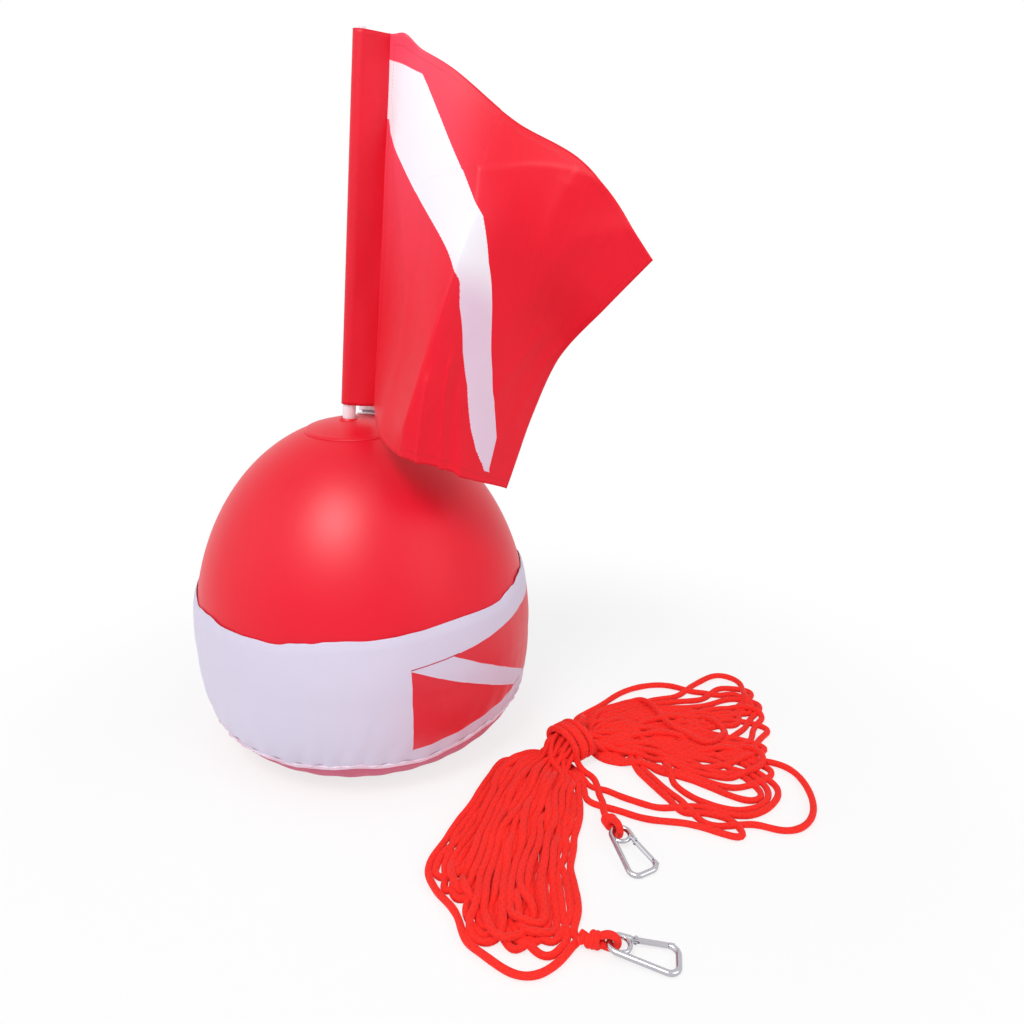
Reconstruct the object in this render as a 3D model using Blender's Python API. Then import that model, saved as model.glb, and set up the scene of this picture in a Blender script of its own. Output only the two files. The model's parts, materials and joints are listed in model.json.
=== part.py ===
"""Dive flag float: an inflated ball in a sewn cover, a flag on a leaning pole, and a hanked line.

The origin is on the floor under the middle of the ball. +Z is up, the flag streams towards +X,
and the front, where the cover carries its print, faces -Y. All lengths are in metres.
"""

import math

import bmesh
import bpy
import numpy as np
from mathutils import Matrix, Vector

# Clearances, in metres
GAP = 0.0003
CLOTH_GAP = 0.0005
COVER_GAP = 0.0009
ROPE_GAP = 0.00055
OVERRUN = 0.004
WELD_STEP = 0.0000005

# How finely lines are probed while the shapes are worked out
PROBES = 60

# Ball: the outer envelope that the cover and the bladder follow
BALL_RADIUS = 0.174
BALL_HEIGHT = 0.338
WIDEST_HEIGHT = 0.111
FOOT_RADIUS = 0.080
LOWER_POWER = 2.6
UPPER_POWER = 1.6
EGG_SHARE = 0.135

# Bladder
BLADDER_WALL = 0.0012
BLADDER_MOUTH = 0.0145
BLADDER_STEPS = 32
BLADDER_LOW_ROWS = 4
BLADDER_HIGH_ROWS = 7

# Cover: white band, red base, binding, elastic
COVER_WALL = 0.0008
BAND_TOP = 0.176
BAND_TOP_RISE = 0.008
HEM_HEIGHT = 0.050
HEM_DIP = 0.011
HEM_RISE = 0.004
HEM_WIDTH = 0.012
HEM_WALL = 0.0011
HEM_RUFFLE = 0.0010
HEM_SEAM = 0.0008
PUCKER_DEPTH = 0.0028
PUCKER_REACH = 0.040
PUCKER_EDGE = 0.0022
PUCKERS = 16
PUCKER_START = 0.8
CASING_REACH = 2.5
CASING_DEPTH = 0.0016
ELASTIC_WIDTH = 0.006
ELASTIC_WALL = 0.0009
ELASTIC_DROP = 0.007
COVER_STEPS = 48
BAND_ROWS = 7
BASE_ROWS = 6
RUFFLES = 16

# Ballast in the cover's base
BALLAST_RADIUS = 0.074
BALLAST_WALL = 0.008
BALLAST_EDGE = 0.0015

# Mast: pole, plug and cap, leaning in its socket
MAST_LEAN = math.radians(5.4)
MAST_OFFSET = -0.0052
POLE_RADIUS = 0.0065
POLE_WALL = 0.0014
POLE_STANDING = 0.341
POLE_SEAT_DEPTH = 0.082
SOCKET_WALL = 0.0014
SOCKET_FIT = 0.0004
SOCKET_FLOOR = 0.0020
PATCH_RADIUS = 0.050
PATCH_WALL = 0.0008
PATCH_LIFT = 0.00039
PATCH_SHARES = (0.0, 0.33, 0.66, 0.97)
PATCH_EDGE_SHARE = 0.25
SOCKET_COLLAR = 0.0010
FOOT_PLUG_LENGTH = 0.014
FOOT_PLUG_HEAD = 0.004
CAP_LENGTH = 0.010
CAP_HEAD = 0.0035
CAP_BUTTON_RADIUS = 0.0032
CAP_BUTTON_HEIGHT = 0.003
POLE_STEPS = 20

# Flag
FLAG_HOIST = 0.331
FLAG_FLY = 0.360
FLAG_WALL = 0.0006
SLEEVE_FOOT = 0.0145
SLEEVE_WALL = 0.0006
SLEEVE_FIT = 0.0009
SEAM_REACH = 0.0270
SEAM_TWIST = math.radians(24.0)
SEAM_LIP = 0.0009
FOLD_DEPTH = 0.013
FOLD_COUNT = 2.6
FOLD_DRIFT_SHARE = 0.35
FOLD_EASE = 0.25
SLEEVE_SIDES = 15
SLEEVE_ROWS = 6
FLAG_COLUMNS = 21
FLAG_ROWS = 16
STRIPE_SHARE = 0.20

# Where the flag's cloth hangs, row by row from the top edge down and from the seam out.
# Each place is across, towards the back, and up: the first two are shares of the fly, the last of the
# hoist.
FLAG_PLACE_SHARES = (
    (
        (0.00, 0.00, 1.00), (0.16, -0.08, 0.92), (0.33, -0.16, 0.81),
        (0.50, -0.24, 0.71), (0.64, -0.32, 0.52),
    ),
    (
        (0.00, 0.00, 0.75), (0.10, -0.11, 0.73), (0.27, -0.22, 0.64),
        (0.41, -0.25, 0.57), (0.55, -0.27, 0.38),
    ),
    (
        (0.00, 0.00, 0.50), (0.11, -0.16, 0.48), (0.23, -0.27, 0.46),
        (0.35, -0.25, 0.39), (0.48, -0.19, 0.24),
    ),
    (
        (0.00, 0.00, 0.25), (0.10, -0.19, 0.23), (0.19, -0.32, 0.21),
        (0.27, -0.31, 0.18), (0.43, -0.20, 0.07),
    ),
    (
        (0.00, 0.00, 0.00), (0.06, -0.22, -0.04), (0.16, -0.35, -0.04),
        (0.26, -0.35, -0.07), (0.37, -0.27, -0.12),
    ),
)

# Inflation valve behind the pole
VALVE_DISTANCE = 0.045
VALVE_BEARING = math.radians(72.0)
VALVE_FLANGE_RADIUS = 0.0185
VALVE_FLANGE_WALL = 0.0012
VALVE_NECK_RADIUS = 0.0115
VALVE_NECK_WALL = 0.0018
VALVE_NECK_HEIGHT = 0.0070
VALVE_NECK_DEPTH = 0.0060
VALVE_CAP_RADIUS = 0.0170
VALVE_CAP_WALL = 0.0018
VALVE_CAP_EDGE = 0.0012
VALVE_SEAL_RADIUS = 0.0009
VALVE_CAP_RIBS = 12
VALVE_CAP_RIB_DEPTH = 0.0005
VALVE_STEPS = 24
VALVE_SEAL_SIDES = 6

# Tow ring and its webbing tab, at the back of the hem
TOW_RING_ROD = 0.004
TOW_RING_INNER = 0.027
TOW_RING_DROP = 0.022
TOW_TAB_WIDTH = 0.0235
TOW_TAB_WALL = 0.0013
TOW_TAB_LENGTH = 0.030
TOW_BAR_HEIGHT = 0.076
TOW_STAND_OFF = 0.0085

# Line
ROPE_DIAMETER = 0.0065
HANK_LOOPS = 16
HANK_LAYERS = 4
LOOP_POINTS = 24
HANK_CENTRE = (0.218, -0.068)
LEFT_HEADING = math.radians(92.0)
RIGHT_HEADING = math.radians(-12.0)
LEFT_REACH = 0.264
RIGHT_REACH = 0.215
BEND_LENGTH = 0.130
WAIST_LENGTH = 0.085
LOOP_STEP = 0.0112
REACH_STEP = 0.0098
INNER_HALF_WIDTH = 0.0240
LEFT_LOBE_SHARE = 0.75
RIGHT_LOBE_SHARE = 1.40
WAIST_STEP = 0.00765
WAIST_INNER = 0.0048
WAIST_LIFT = 0.0078
LIFT_LENGTH = 0.066
TIE_TURNS = 3
TIE_LEAVE = 0.15
TIE_COVER = 0.6
RUN_SHARES = (0.84, 0.50, 0.16)
CAP_ANGLES = (math.radians(15.0), math.radians(45.0), math.radians(75.0))

# Knots and their eyes
KNOT_RING = 0.0043
KNOT_STEP = 0.0045
KNOT_TILT = math.radians(14.0)
KNOT_STUB = 0.0118
KNOT_TO_BAR = 0.0125
KNOT_SIDES = 8
KNOT_TURN_SIDES = 6
KNOT_TURN_STEPS = 9
EYE_SWEEP = math.radians(112.0)
EYE_STEPS = 11
EYE_ROOT_SHARE = 0.7
EYE_TOP_SHARE = 1.15
EYE_FOOT_SHARE = 0.95
EYE_FIT = 0.00045
KNOT_A = (0.2470, -0.1960)
KNOT_A_HEADING = math.radians(-68.0)
KNOT_B = (0.2200, -0.3335)
KNOT_B_HEADING = math.radians(-15.0)
STUB_SPREAD = math.radians(21.0)
TAIL_STEPS_OUT = 4.6
TAIL_REACH = 0.175
TAIL_POINTS = 6
ROUTE_SPACING = 0.0143
ROUTE_PROBES = 16

# Free routes of the line on the floor: across and forwards, from the tie or the hank towards a knot
END_A_ROUTE = ((0.2520, -0.1210), (0.2435, -0.1430), (0.2405, -0.1620))
END_B_ROUTE = (
    (0.1120, -0.3130),
    (0.1240, -0.3340),
    (0.1430, -0.3560),
    (0.1640, -0.3685),
    (0.1830, -0.3610),
    (0.1960, -0.3480),
)
TAIL_ROUTE = ((0.1965, -0.2700), (0.1935, -0.2920), (0.1975, -0.3110), (0.2020, -0.3210))

# Clips
CLIP_ROD = 0.0050
CLIP_BRIDGE_ROD = 0.0040
CLIP_LENGTH = 0.0600
CLIP_FAR_HALF_WIDTH = 0.0138
CLIP_EYE_RADIUS = 0.0080
CLIP_FAR_FILLET = 0.0075
CLIP_NOSE_BACK = 0.0110
CLIP_NOSE_SIDE = 0.0128
CLIP_SHOULDER = 0.0075
CLIP_SHOULDER_SHARE = 1.04
CLIP_FAR_LEAN = 0.0030
CLIP_SIDES = 10
CLIP_FILLET_STEPS = 4
BRIDGE_SWEEP = math.radians(84.0)
BRIDGE_SIDES = 8
TONGUE_WALL = 0.0018
TONGUE_REACH = 0.0060
TONGUE_PIVOT_SHARE = 0.62
TONGUE_NECK_SHARE = 0.92
GATE_BACK_SHARE = 0.92
HOLE_STEPS = 10
RIVET_STEPS = 8
RIVET_RADIUS = 0.0009
RIVET_HEAD_RADIUS = 0.0017
RIVET_HEAD_HEIGHT = 0.0006
GATE_RADIUS = 0.0023
GATE_TIP_WALL = 0.0017
GATE_TIP_LENGTH = 0.0040
JOINT_FIT = 0.0003
GATE_SIDES = 10


def clear_scene():
    """Empty the scene before the part is built."""
    for thing in list(bpy.data.objects):
        bpy.data.objects.remove(thing, do_unlink=True)


def finish(name, colour, roughness, metallic=0.0):
    """A plain material with the piece's colour."""
    material = bpy.data.materials.new(name)
    material.use_nodes = True
    shader = material.node_tree.nodes["Principled BSDF"]
    shader.inputs["Base Color"].default_value = (*colour, 1.0)
    shader.inputs["Roughness"].default_value = roughness
    shader.inputs["Metallic"].default_value = metallic
    return material


def link(name, data, *materials):
    """Put mesh or curve data into the scene as a named object."""
    thing = bpy.data.objects.new(name, data)
    bpy.context.scene.collection.objects.link(thing)
    for material in materials:
        thing.data.materials.append(material)
    return thing


def mesh_object(name, bm, materials, smooth=True):
    """Weld a bmesh, turn its faces outwards and make it an object."""
    bmesh.ops.remove_doubles(bm, verts=bm.verts, dist=WELD_STEP)
    bmesh.ops.dissolve_degenerate(bm, dist=WELD_STEP, edges=bm.edges)
    bmesh.ops.recalc_face_normals(bm, faces=bm.faces)
    mesh = bpy.data.meshes.new(name)
    bm.to_mesh(mesh)
    bm.free()
    if smooth:
        mesh.shade_smooth()
        mesh.set_sharp_from_angle(angle=math.radians(40.0))
    return link(name, mesh, *materials)


def turned(outline, steps):
    """Spin an outline of (radius, height) pairs about Z. It ends on the axis, or closes on itself."""
    bm = bmesh.new()
    points = [bm.verts.new((radius, 0.0, height)) for radius, height in outline]
    edges = [bm.edges.new(pair) for pair in zip(points, points[1:])]
    if outline[0][0] > 0.0:
        edges.append(bm.edges.new((points[-1], points[0])))
    bmesh.ops.spin(
        bm,
        geom=points + edges,
        cent=(0.0, 0.0, 0.0),
        axis=(0.0, 0.0, 1.0),
        angle=math.tau,
        steps=steps,
        use_merge=True,
    )
    return bm


def lofted(rings, closed=False):
    """Join rings of points, either end to end in a closed tube or with both ends capped."""
    bm = bmesh.new()
    rows = [[bm.verts.new(point) for point in ring] for ring in rings]
    pairs = list(zip(rows, rows[1:]))
    if closed:
        pairs.append((rows[-1], rows[0]))
    count = len(rows[0])
    for low, high in pairs:
        for index in range(count):
            after = (index + 1) % count
            bm.faces.new((low[index], low[after], high[after], high[index]))
    if not closed:
        bm.faces.new(rows[0])
        bm.faces.new(rows[-1])
    return bm


def swept_rings(path, radius, sides):
    """Rings of a round rod along a path, carried without twist."""
    points = [Vector(point) for point in path]
    rings = []
    across = None
    for index, point in enumerate(points):
        before = points[max(index - 1, 0)]
        after = points[min(index + 1, len(points) - 1)]
        ahead = (after - before).normalized()
        if across is None:
            across = ahead.orthogonal().normalized()
        across = (across - ahead * across.dot(ahead)).normalized()
        beside = ahead.cross(across)
        ring = []
        for side in range(sides):
            angle = math.tau * side / sides
            ring.append(point + (across * math.cos(angle) + beside * math.sin(angle)) * radius)
        rings.append(ring)
    return rings


def rod(path, radius, sides):
    """A round rod along a path, with flat ends."""
    return lofted(swept_rings(path, radius, sides))


def cutter(name, bm, frame=None):
    """A hidden helper for a Boolean."""
    helper = mesh_object(name, bm, (), smooth=False)
    helper.hide_render = True
    helper.display_type = "WIRE"
    if frame is not None:
        helper.matrix_world = frame
    return helper


def combine(thing, helper, operation):
    """Add or cut a helper with an exact Boolean that stays on the object."""
    step = thing.modifiers.new(helper.name, "BOOLEAN")
    step.operation = operation
    step.solver = "EXACT"
    step.object = helper


def block(size, centre):
    """A box of a size, around a centre."""
    bm = bmesh.new()
    bmesh.ops.create_cube(bm, size=1.0)
    bmesh.ops.scale(bm, vec=size, verts=bm.verts)
    bmesh.ops.translate(bm, vec=centre, verts=bm.verts)
    return bm


def ball_radius(height):
    """Radius of the envelope at a height."""
    if height >= WIDEST_HEIGHT:
        share = min((height - WIDEST_HEIGHT) / (BALL_HEIGHT - WIDEST_HEIGHT), 1.0)
        return BALL_RADIUS * math.sqrt(1.0 - share**UPPER_POWER) * (1.0 + EGG_SHARE * share)
    share = min((WIDEST_HEIGHT - height) / WIDEST_HEIGHT, 1.0)
    swell = (1.0 - share**LOWER_POWER) ** (1.0 / LOWER_POWER)
    return FOOT_RADIUS + (BALL_RADIUS - FOOT_RADIUS) * swell


def ball_point(height, out):
    """Radius and height of the point outside the envelope by a distance, measured square to it."""
    step = BALL_HEIGHT / 2000.0
    low = max(height - step, 0.0)
    high = min(height + step, BALL_HEIGHT)
    rise = high - low
    run = ball_radius(high) - ball_radius(low)
    length = math.hypot(rise, run)
    return ball_radius(height) + out * rise / length, height - out * run / length


def dome_height(radius):
    """Height of the envelope's upper side at a radius."""
    low = WIDEST_HEIGHT + (BALL_HEIGHT - WIDEST_HEIGHT) * 0.1
    high = BALL_HEIGHT
    for _ in range(50):
        middle = 0.5 * (low + high)
        if ball_radius(middle) > radius:
            low = middle
        else:
            high = middle
    return 0.5 * (low + high)


def dome_place(radius, out):
    """Radius and height over the dome at a radius, for discs that follow it."""
    if radius <= 0.0:
        return 0.0, BALL_HEIGHT + out
    return ball_point(dome_height(radius), out)


def even_heights(low, high, rows):
    """Heights that divide the envelope's side into rows which bulge alike."""
    heights = np.linspace(low, high, 400)
    sides = np.array([(ball_radius(height), height) for height in heights])
    runs = np.diff(sides, axis=0)
    lengths = np.linalg.norm(runs, axis=1)
    slopes = np.unwrap(np.arctan2(runs[:, 1], runs[:, 0]))
    turns = np.abs(np.gradient(slopes)) + 1e-6
    weights = np.concatenate(([0.0], np.cumsum(np.sqrt(turns * lengths))))
    return np.interp(np.linspace(0.0, weights[-1], rows + 1), weights, heights)


def bladder_heights():
    """Heights of the bladder's rings, from its flat underside to its mouth."""
    base = COVER_WALL + BALLAST_WALL + 3.0 * GAP
    lower = even_heights(base, WIDEST_HEIGHT, BLADDER_LOW_ROWS)
    upper = even_heights(WIDEST_HEIGHT, dome_height(BLADDER_MOUTH), BLADDER_HIGH_ROWS)
    return list(lower[:-1]) + list(upper)


def build_bladder(red):
    """The inflated bladder: one thin wall, open at the pole socket and the valve."""
    depth = -(COVER_WALL + COVER_GAP)
    heights = bladder_heights()
    outer = [ball_point(height, depth) for height in heights]
    inner = [ball_point(height, depth - BLADDER_WALL) for height in heights[1:]]
    foot = outer[0][1]
    floor_edge = (outer[0][0] - 2.0 * BLADDER_WALL, foot + BLADDER_WALL)
    outline = [(0.0, foot)] + outer + list(reversed(inner)) + [floor_edge, (0.0, foot + BLADDER_WALL)]
    bladder = mesh_object("bladder", turned(outline, BLADDER_STEPS), (red,))
    hole_radius = VALVE_NECK_RADIUS + GAP
    span = VALVE_NECK_DEPTH + OVERRUN
    hole = turned([(0.0, -span), (hole_radius, -span), (hole_radius, OVERRUN), (0.0, OVERRUN)], VALVE_STEPS)
    combine(bladder, cutter("cut_valve_hole", hole, valve_frame()), "DIFFERENCE")
    return bladder


def mast_frame():
    """Where the mast enters the dome, with local Z up the pole and local X towards the fly."""
    height = BALL_HEIGHT
    return Matrix.Translation((MAST_OFFSET, 0.0, height)) @ Matrix.Rotation(MAST_LEAN, 4, "Y")


def build_pole_socket(red):
    """The welded patch on the dome and the closed tube that hangs from it inside the bladder."""
    low = PATCH_LIFT - (COVER_WALL + COVER_GAP)
    high = low + PATCH_WALL
    under = [dome_place(PATCH_RADIUS * share, low) for share in PATCH_SHARES]
    over = [dome_place(PATCH_RADIUS * share, high) for share in PATCH_SHARES]
    edge = dome_place(PATCH_RADIUS, low + PATCH_EDGE_SHARE * PATCH_WALL)
    outline = under + [edge] + list(reversed(over))
    socket = mesh_object("pole_socket", turned(outline, BLADDER_STEPS), (red,))
    bore = POLE_RADIUS + SOCKET_FIT
    tube = bore + SOCKET_WALL
    foot = -POLE_SEAT_DEPTH - GAP
    top = high + SOCKET_COLLAR
    closed_foot = foot - SOCKET_FLOOR
    sleeve = turned([(0.0, closed_foot), (tube, closed_foot), (tube, top), (0.0, top)], POLE_STEPS)
    combine(socket, cutter("add_socket_tube", sleeve, mast_frame()), "UNION")
    cut = turned([(0.0, foot), (bore, foot), (bore, OVERRUN), (0.0, OVERRUN)], POLE_STEPS)
    combine(socket, cutter("cut_socket_bore", cut, mast_frame()), "DIFFERENCE")
    neck = VALVE_NECK_RADIUS + GAP
    hole = turned([(0.0, -OVERRUN), (neck, -OVERRUN), (neck, OVERRUN), (0.0, OVERRUN)], VALVE_STEPS)
    combine(socket, cutter("cut_patch_for_valve", hole, valve_frame()), "DIFFERENCE")
    return socket


def band_top(bearing):
    """Height of the band's gathered top edge at a bearing from the front."""
    return BAND_TOP + BAND_TOP_RISE * math.sin(bearing) + PUCKER_EDGE * math.sin(PUCKERS * bearing)


def hem_height(bearing):
    """Height of the hem's middle at a bearing from the front."""
    return HEM_HEIGHT - HEM_DIP * math.cos(bearing) + HEM_RISE * math.sin(bearing)


def around(bearing, radius, height):
    """A point at a bearing from the front, counted towards +X."""
    return (radius * math.sin(bearing), -radius * math.cos(bearing), height)


def cover_ring(place):
    """One ring of the cover, from a function that gives radius and height at a bearing."""
    bearings = np.linspace(0.0, math.tau, COVER_STEPS, endpoint=False)
    return [around(bearing, *place(bearing)) for bearing in bearings]


def build_cover_band(white):
    """The white band, gathered at its top over the elastic."""
    heights = even_heights(HEM_HEIGHT, BAND_TOP, BAND_ROWS)
    shares = (heights - HEM_HEIGHT) / (BAND_TOP - HEM_HEIGHT)

    def place(share, out):
        def at(bearing):
            low = hem_height(bearing) + 0.5 * HEM_SEAM
            high = band_top(bearing)
            height = low + (high - low) * share
            near = max(0.0, 1.0 - (high - height) / PUCKER_REACH)
            pucker = PUCKER_DEPTH * near * (0.5 + 0.5 * math.sin(PUCKERS * bearing + PUCKER_START))
            casing = CASING_DEPTH * min(1.0, CASING_REACH * near)
            return ball_point(height, out + pucker + casing)

        return at

    outer = [cover_ring(place(share, 0.0)) for share in shares]
    inner = [cover_ring(place(share, -COVER_WALL)) for share in reversed(shares)]
    return mesh_object("cover_band", lofted(outer + inner, closed=True), (white,))


def build_cover_elastic(white):
    """The flat elastic in the casing, between the band and the bladder."""
    inside = -(COVER_WALL + COVER_GAP) + 0.5 * (COVER_GAP + CASING_DEPTH - ELASTIC_WALL)
    rings = []
    outside = inside + ELASTIC_WALL
    for rise, out in ((0.0, inside), (1.0, inside), (1.0, outside), (0.0, outside)):
        def at(bearing, rise=rise, out=out):
            height = BAND_TOP + BAND_TOP_RISE * math.sin(bearing) - ELASTIC_DROP - ELASTIC_WIDTH * rise
            return ball_point(height, out)

        rings.append(cover_ring(at))
    return mesh_object("cover_elastic", lofted(rings, closed=True), (white,))


def build_cover_hem(white):
    """The ruffled binding that covers the seam between the band and the base."""
    rings = []
    low = CLOTH_GAP
    high = low + HEM_WALL
    for rise, out in ((-0.5, low), (-0.5, high), (0.5, high), (0.5, low)):
        def at(bearing, rise=rise, out=out):
            ruffle = HEM_RUFFLE * (1.0 + math.sin(RUFFLES * bearing)) * (0.5 - rise) * 0.5
            return ball_point(hem_height(bearing) + HEM_WIDTH * rise, out + ruffle)

        rings.append(cover_ring(at))
    return mesh_object("cover_hem", lofted(rings, closed=True), (white,))


def build_cover_base(red):
    """The red base panel: flat on the floor, then up round the foot of the ball to the hem."""
    shares = even_heights(0.0, HEM_HEIGHT, BASE_ROWS) / HEM_HEIGHT

    def place(share, out):
        def at(bearing):
            high = hem_height(bearing) - 0.5 * HEM_SEAM
            radius, height = ball_point(high * share, out)
            return radius, max(height, -out)

        return at

    def flat(radius, height):
        return lambda bearing: (radius, height)

    middle = 0.25 * FOOT_RADIUS
    outer = [cover_ring(flat(middle, 0.0))] + [cover_ring(place(share, 0.0)) for share in shares]
    inner = [cover_ring(place(share, -COVER_WALL)) for share in reversed(shares)]
    inner.append(cover_ring(flat(middle, COVER_WALL)))
    return mesh_object("cover_base", lofted(outer + inner), (red,))


def build_ballast(iron):
    """The round plate in the base that rights the float."""
    low = COVER_WALL + GAP
    high = low + BALLAST_WALL
    edge = BALLAST_EDGE
    outline = [
        (0.0, low),
        (BALLAST_RADIUS - edge, low),
        (BALLAST_RADIUS, low + edge),
        (BALLAST_RADIUS, high - edge),
        (BALLAST_RADIUS - edge, high),
        (0.0, high),
    ]
    return mesh_object("ballast_plate", turned(outline, BLADDER_STEPS), (iron,))


def build_pole(white):
    """The pole tube, the plug that closes its foot and the cap on its top."""
    frame = mast_frame()
    foot = -POLE_SEAT_DEPTH + FOOT_PLUG_HEAD + GAP
    top = POLE_STANDING
    bore = POLE_RADIUS - POLE_WALL
    wall = [(bore, foot), (POLE_RADIUS, foot), (POLE_RADIUS, top), (bore, top)]
    tube = mesh_object("pole_tube", turned(wall, POLE_STEPS), (white,))
    plug_radius = bore - GAP
    plug_foot = -POLE_SEAT_DEPTH
    plug_outline = [
        (0.0, plug_foot),
        (0.6 * POLE_RADIUS, plug_foot),
        (POLE_RADIUS, plug_foot + 0.5 * FOOT_PLUG_HEAD),
        (POLE_RADIUS, plug_foot + FOOT_PLUG_HEAD),
        (plug_radius, plug_foot + FOOT_PLUG_HEAD),
        (plug_radius, plug_foot + FOOT_PLUG_LENGTH),
        (0.0, plug_foot + FOOT_PLUG_LENGTH),
    ]
    plug = mesh_object("pole_foot_plug", turned(plug_outline, POLE_STEPS), (white,))
    seat = top + GAP
    cap_outline = [
        (0.0, seat - CAP_LENGTH),
        (plug_radius, seat - CAP_LENGTH),
        (plug_radius, seat),
        (POLE_RADIUS, seat),
        (POLE_RADIUS, seat + 0.6 * CAP_HEAD),
        (0.7 * POLE_RADIUS, seat + CAP_HEAD),
        (CAP_BUTTON_RADIUS, seat + CAP_HEAD),
        (CAP_BUTTON_RADIUS, seat + CAP_HEAD + CAP_BUTTON_HEIGHT),
        (0.0, seat + CAP_HEAD + CAP_BUTTON_HEIGHT),
    ]
    cap = mesh_object("pole_top_cap", turned(cap_outline, POLE_STEPS), (white,))
    for piece in (tube, plug, cap):
        piece.matrix_world = frame
    return tube, plug, cap


def seam_place(share, reach):
    """A point of the sleeve's seam, at a share of the hoist from the foot and a reach from the axis."""
    twist = SEAM_TWIST * share
    height = SLEEVE_FOOT + FLAG_HOIST * share
    return Vector((reach * math.cos(twist), reach * math.sin(twist), height))


def sleeve_ring(share, swell):
    """One drop-shaped ring of the sleeve: round the pole, then drawn in to the seam."""
    hold = POLE_RADIUS + SLEEVE_FIT + swell
    reach = SEAM_REACH + swell
    half_lip = SEAM_LIP + swell
    twist = SEAM_TWIST * share
    lean = math.asin((hold - half_lip) / reach)
    start = 0.5 * math.pi - lean
    points = []
    for angle in np.linspace(start, math.tau - start, SLEEVE_SIDES):
        points.append((hold * math.cos(angle), hold * math.sin(angle)))
    bow = 0.10 * hold
    for side in (-1.0, 1.0):
        tip = (reach, side * half_lip)
        root = (hold * math.cos(start), side * hold * math.sin(start))
        middle = (0.5 * (tip[0] + root[0]), 0.5 * (tip[1] + root[1]) - side * bow)
        points.extend([middle, tip] if side < 0.0 else [tip, middle])
    ring = []
    for x, y in points:
        turned_x = x * math.cos(twist) - y * math.sin(twist)
        turned_y = x * math.sin(twist) + y * math.cos(twist)
        ring.append((turned_x, turned_y, SLEEVE_FOOT + FLAG_HOIST * share))
    return ring


def build_flag_sleeve(red):
    """The hemmed sleeve that slides over the pole, open at both ends."""
    shares = np.linspace(0.0, 1.0, SLEEVE_ROWS)
    outer = [sleeve_ring(share, SLEEVE_WALL) for share in shares]
    inner = [sleeve_ring(share, 0.0) for share in reversed(shares)]
    sleeve = mesh_object("flag_sleeve", lofted(outer + inner, closed=True), (red,))
    sleeve.matrix_world = mast_frame()
    return sleeve


def smooth_weights(places, at):
    """Weights of a smooth curve through evenly spaced places, at a share along it."""
    last = places - 1
    span = min(int(at * last), last - 1)
    part = at * last - span
    square = part * part
    cube = square * part
    pull = (
        -0.5 * cube + square - 0.5 * part,
        1.5 * cube - 2.5 * square + 1.0,
        -1.5 * cube + 2.0 * square + 0.5 * part,
        0.5 * cube - 0.5 * square,
    )
    weights = np.zeros(places)
    for offset, weight in zip((-1, 0, 1, 2), pull):
        index = span + offset
        if index < 0:
            weights[0] += 2.0 * weight
            weights[1] -= weight
        elif index > last:
            weights[last] += 2.0 * weight
            weights[last - 1] -= weight
        else:
            weights[index] += weight
    return weights


def flag_point(out, down):
    """A point of the cloth in the mast's frame: out from the seam and down from the top edge, as shares."""
    shares = np.array(FLAG_PLACE_SHARES)
    row = smooth_weights(len(shares), down)
    column = smooth_weights(len(shares[0]), out)
    across, back, up = np.einsum("r,c,rcx->x", row, column, shares)
    seam = seam_place(1.0 - down, SEAM_REACH + SLEEVE_WALL + GAP + FLAG_WALL)
    fold = FOLD_DEPTH * out * (1.0 - FOLD_EASE * out) * (FOLD_EASE + (1.0 - FOLD_EASE) * down)
    swing = fold * math.sin(math.tau * (FOLD_COUNT * out - FOLD_DRIFT_SHARE * down))
    x = seam.x + FLAG_FLY * across + 0.5 * swing
    y = seam.y + FLAG_FLY * back + swing
    return Vector((x, y, SLEEVE_FOOT + FLAG_HOIST * up))


def build_flag_cloth(red, white):
    """The flag's cloth in its main folds, with the stripe from the top of the seam to the low corner."""
    bm = bmesh.new()
    bmesh.ops.create_grid(bm, x_segments=FLAG_COLUMNS, y_segments=FLAG_ROWS, size=0.5)
    bm.faces.ensure_lookup_table()
    for face in bm.faces:
        centre = face.calc_center_median()
        if abs(centre.x + centre.y) < 0.5 * STRIPE_SHARE:
            face.material_index = 1
    for vertex in bm.verts:
        vertex.co = flag_point(vertex.co.x + 0.5, 0.5 - vertex.co.y)
    cloth = mesh_object("flag_cloth", bm, (red, white))
    wall = cloth.modifiers.new("cloth", "SOLIDIFY")
    wall.thickness = FLAG_WALL
    wall.offset = 0.0
    cloth.matrix_world = mast_frame()
    return cloth


def valve_frame():
    """Where the valve stands on the dome, with local Z square to it."""
    bearing = VALVE_BEARING
    radius, height = dome_place(VALVE_DISTANCE, -(COVER_WALL + COVER_GAP))
    outer, raised = dome_place(VALVE_DISTANCE, -(COVER_WALL + COVER_GAP) + BALL_RADIUS)
    tilt = math.atan2(outer - radius, raised - height)
    place = Vector((radius * math.cos(bearing), radius * math.sin(bearing), height))
    return Matrix.Translation(place) @ Matrix.Rotation(bearing, 4, "Z") @ Matrix.Rotation(tilt, 4, "Y")


def flange_sag():
    """How far the dome falls away under the rim of the valve's flange, on its flattest side."""
    frame = valve_frame().inverted()
    sags = []
    for bearing in np.linspace(0.0, math.tau, VALVE_STEPS, endpoint=False):
        for radius in np.linspace(0.0, 2.0 * VALVE_DISTANCE, PROBES):
            reach, height = dome_place(radius, -(COVER_WALL + COVER_GAP))
            local = frame @ Vector((reach * math.cos(bearing), reach * math.sin(bearing), height))
            if abs(math.hypot(local.x, local.y) - VALVE_FLANGE_RADIUS) < 0.1 * VALVE_FLANGE_RADIUS:
                sags.append(-local.z)
    return max(0.0, min(sags))


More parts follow.
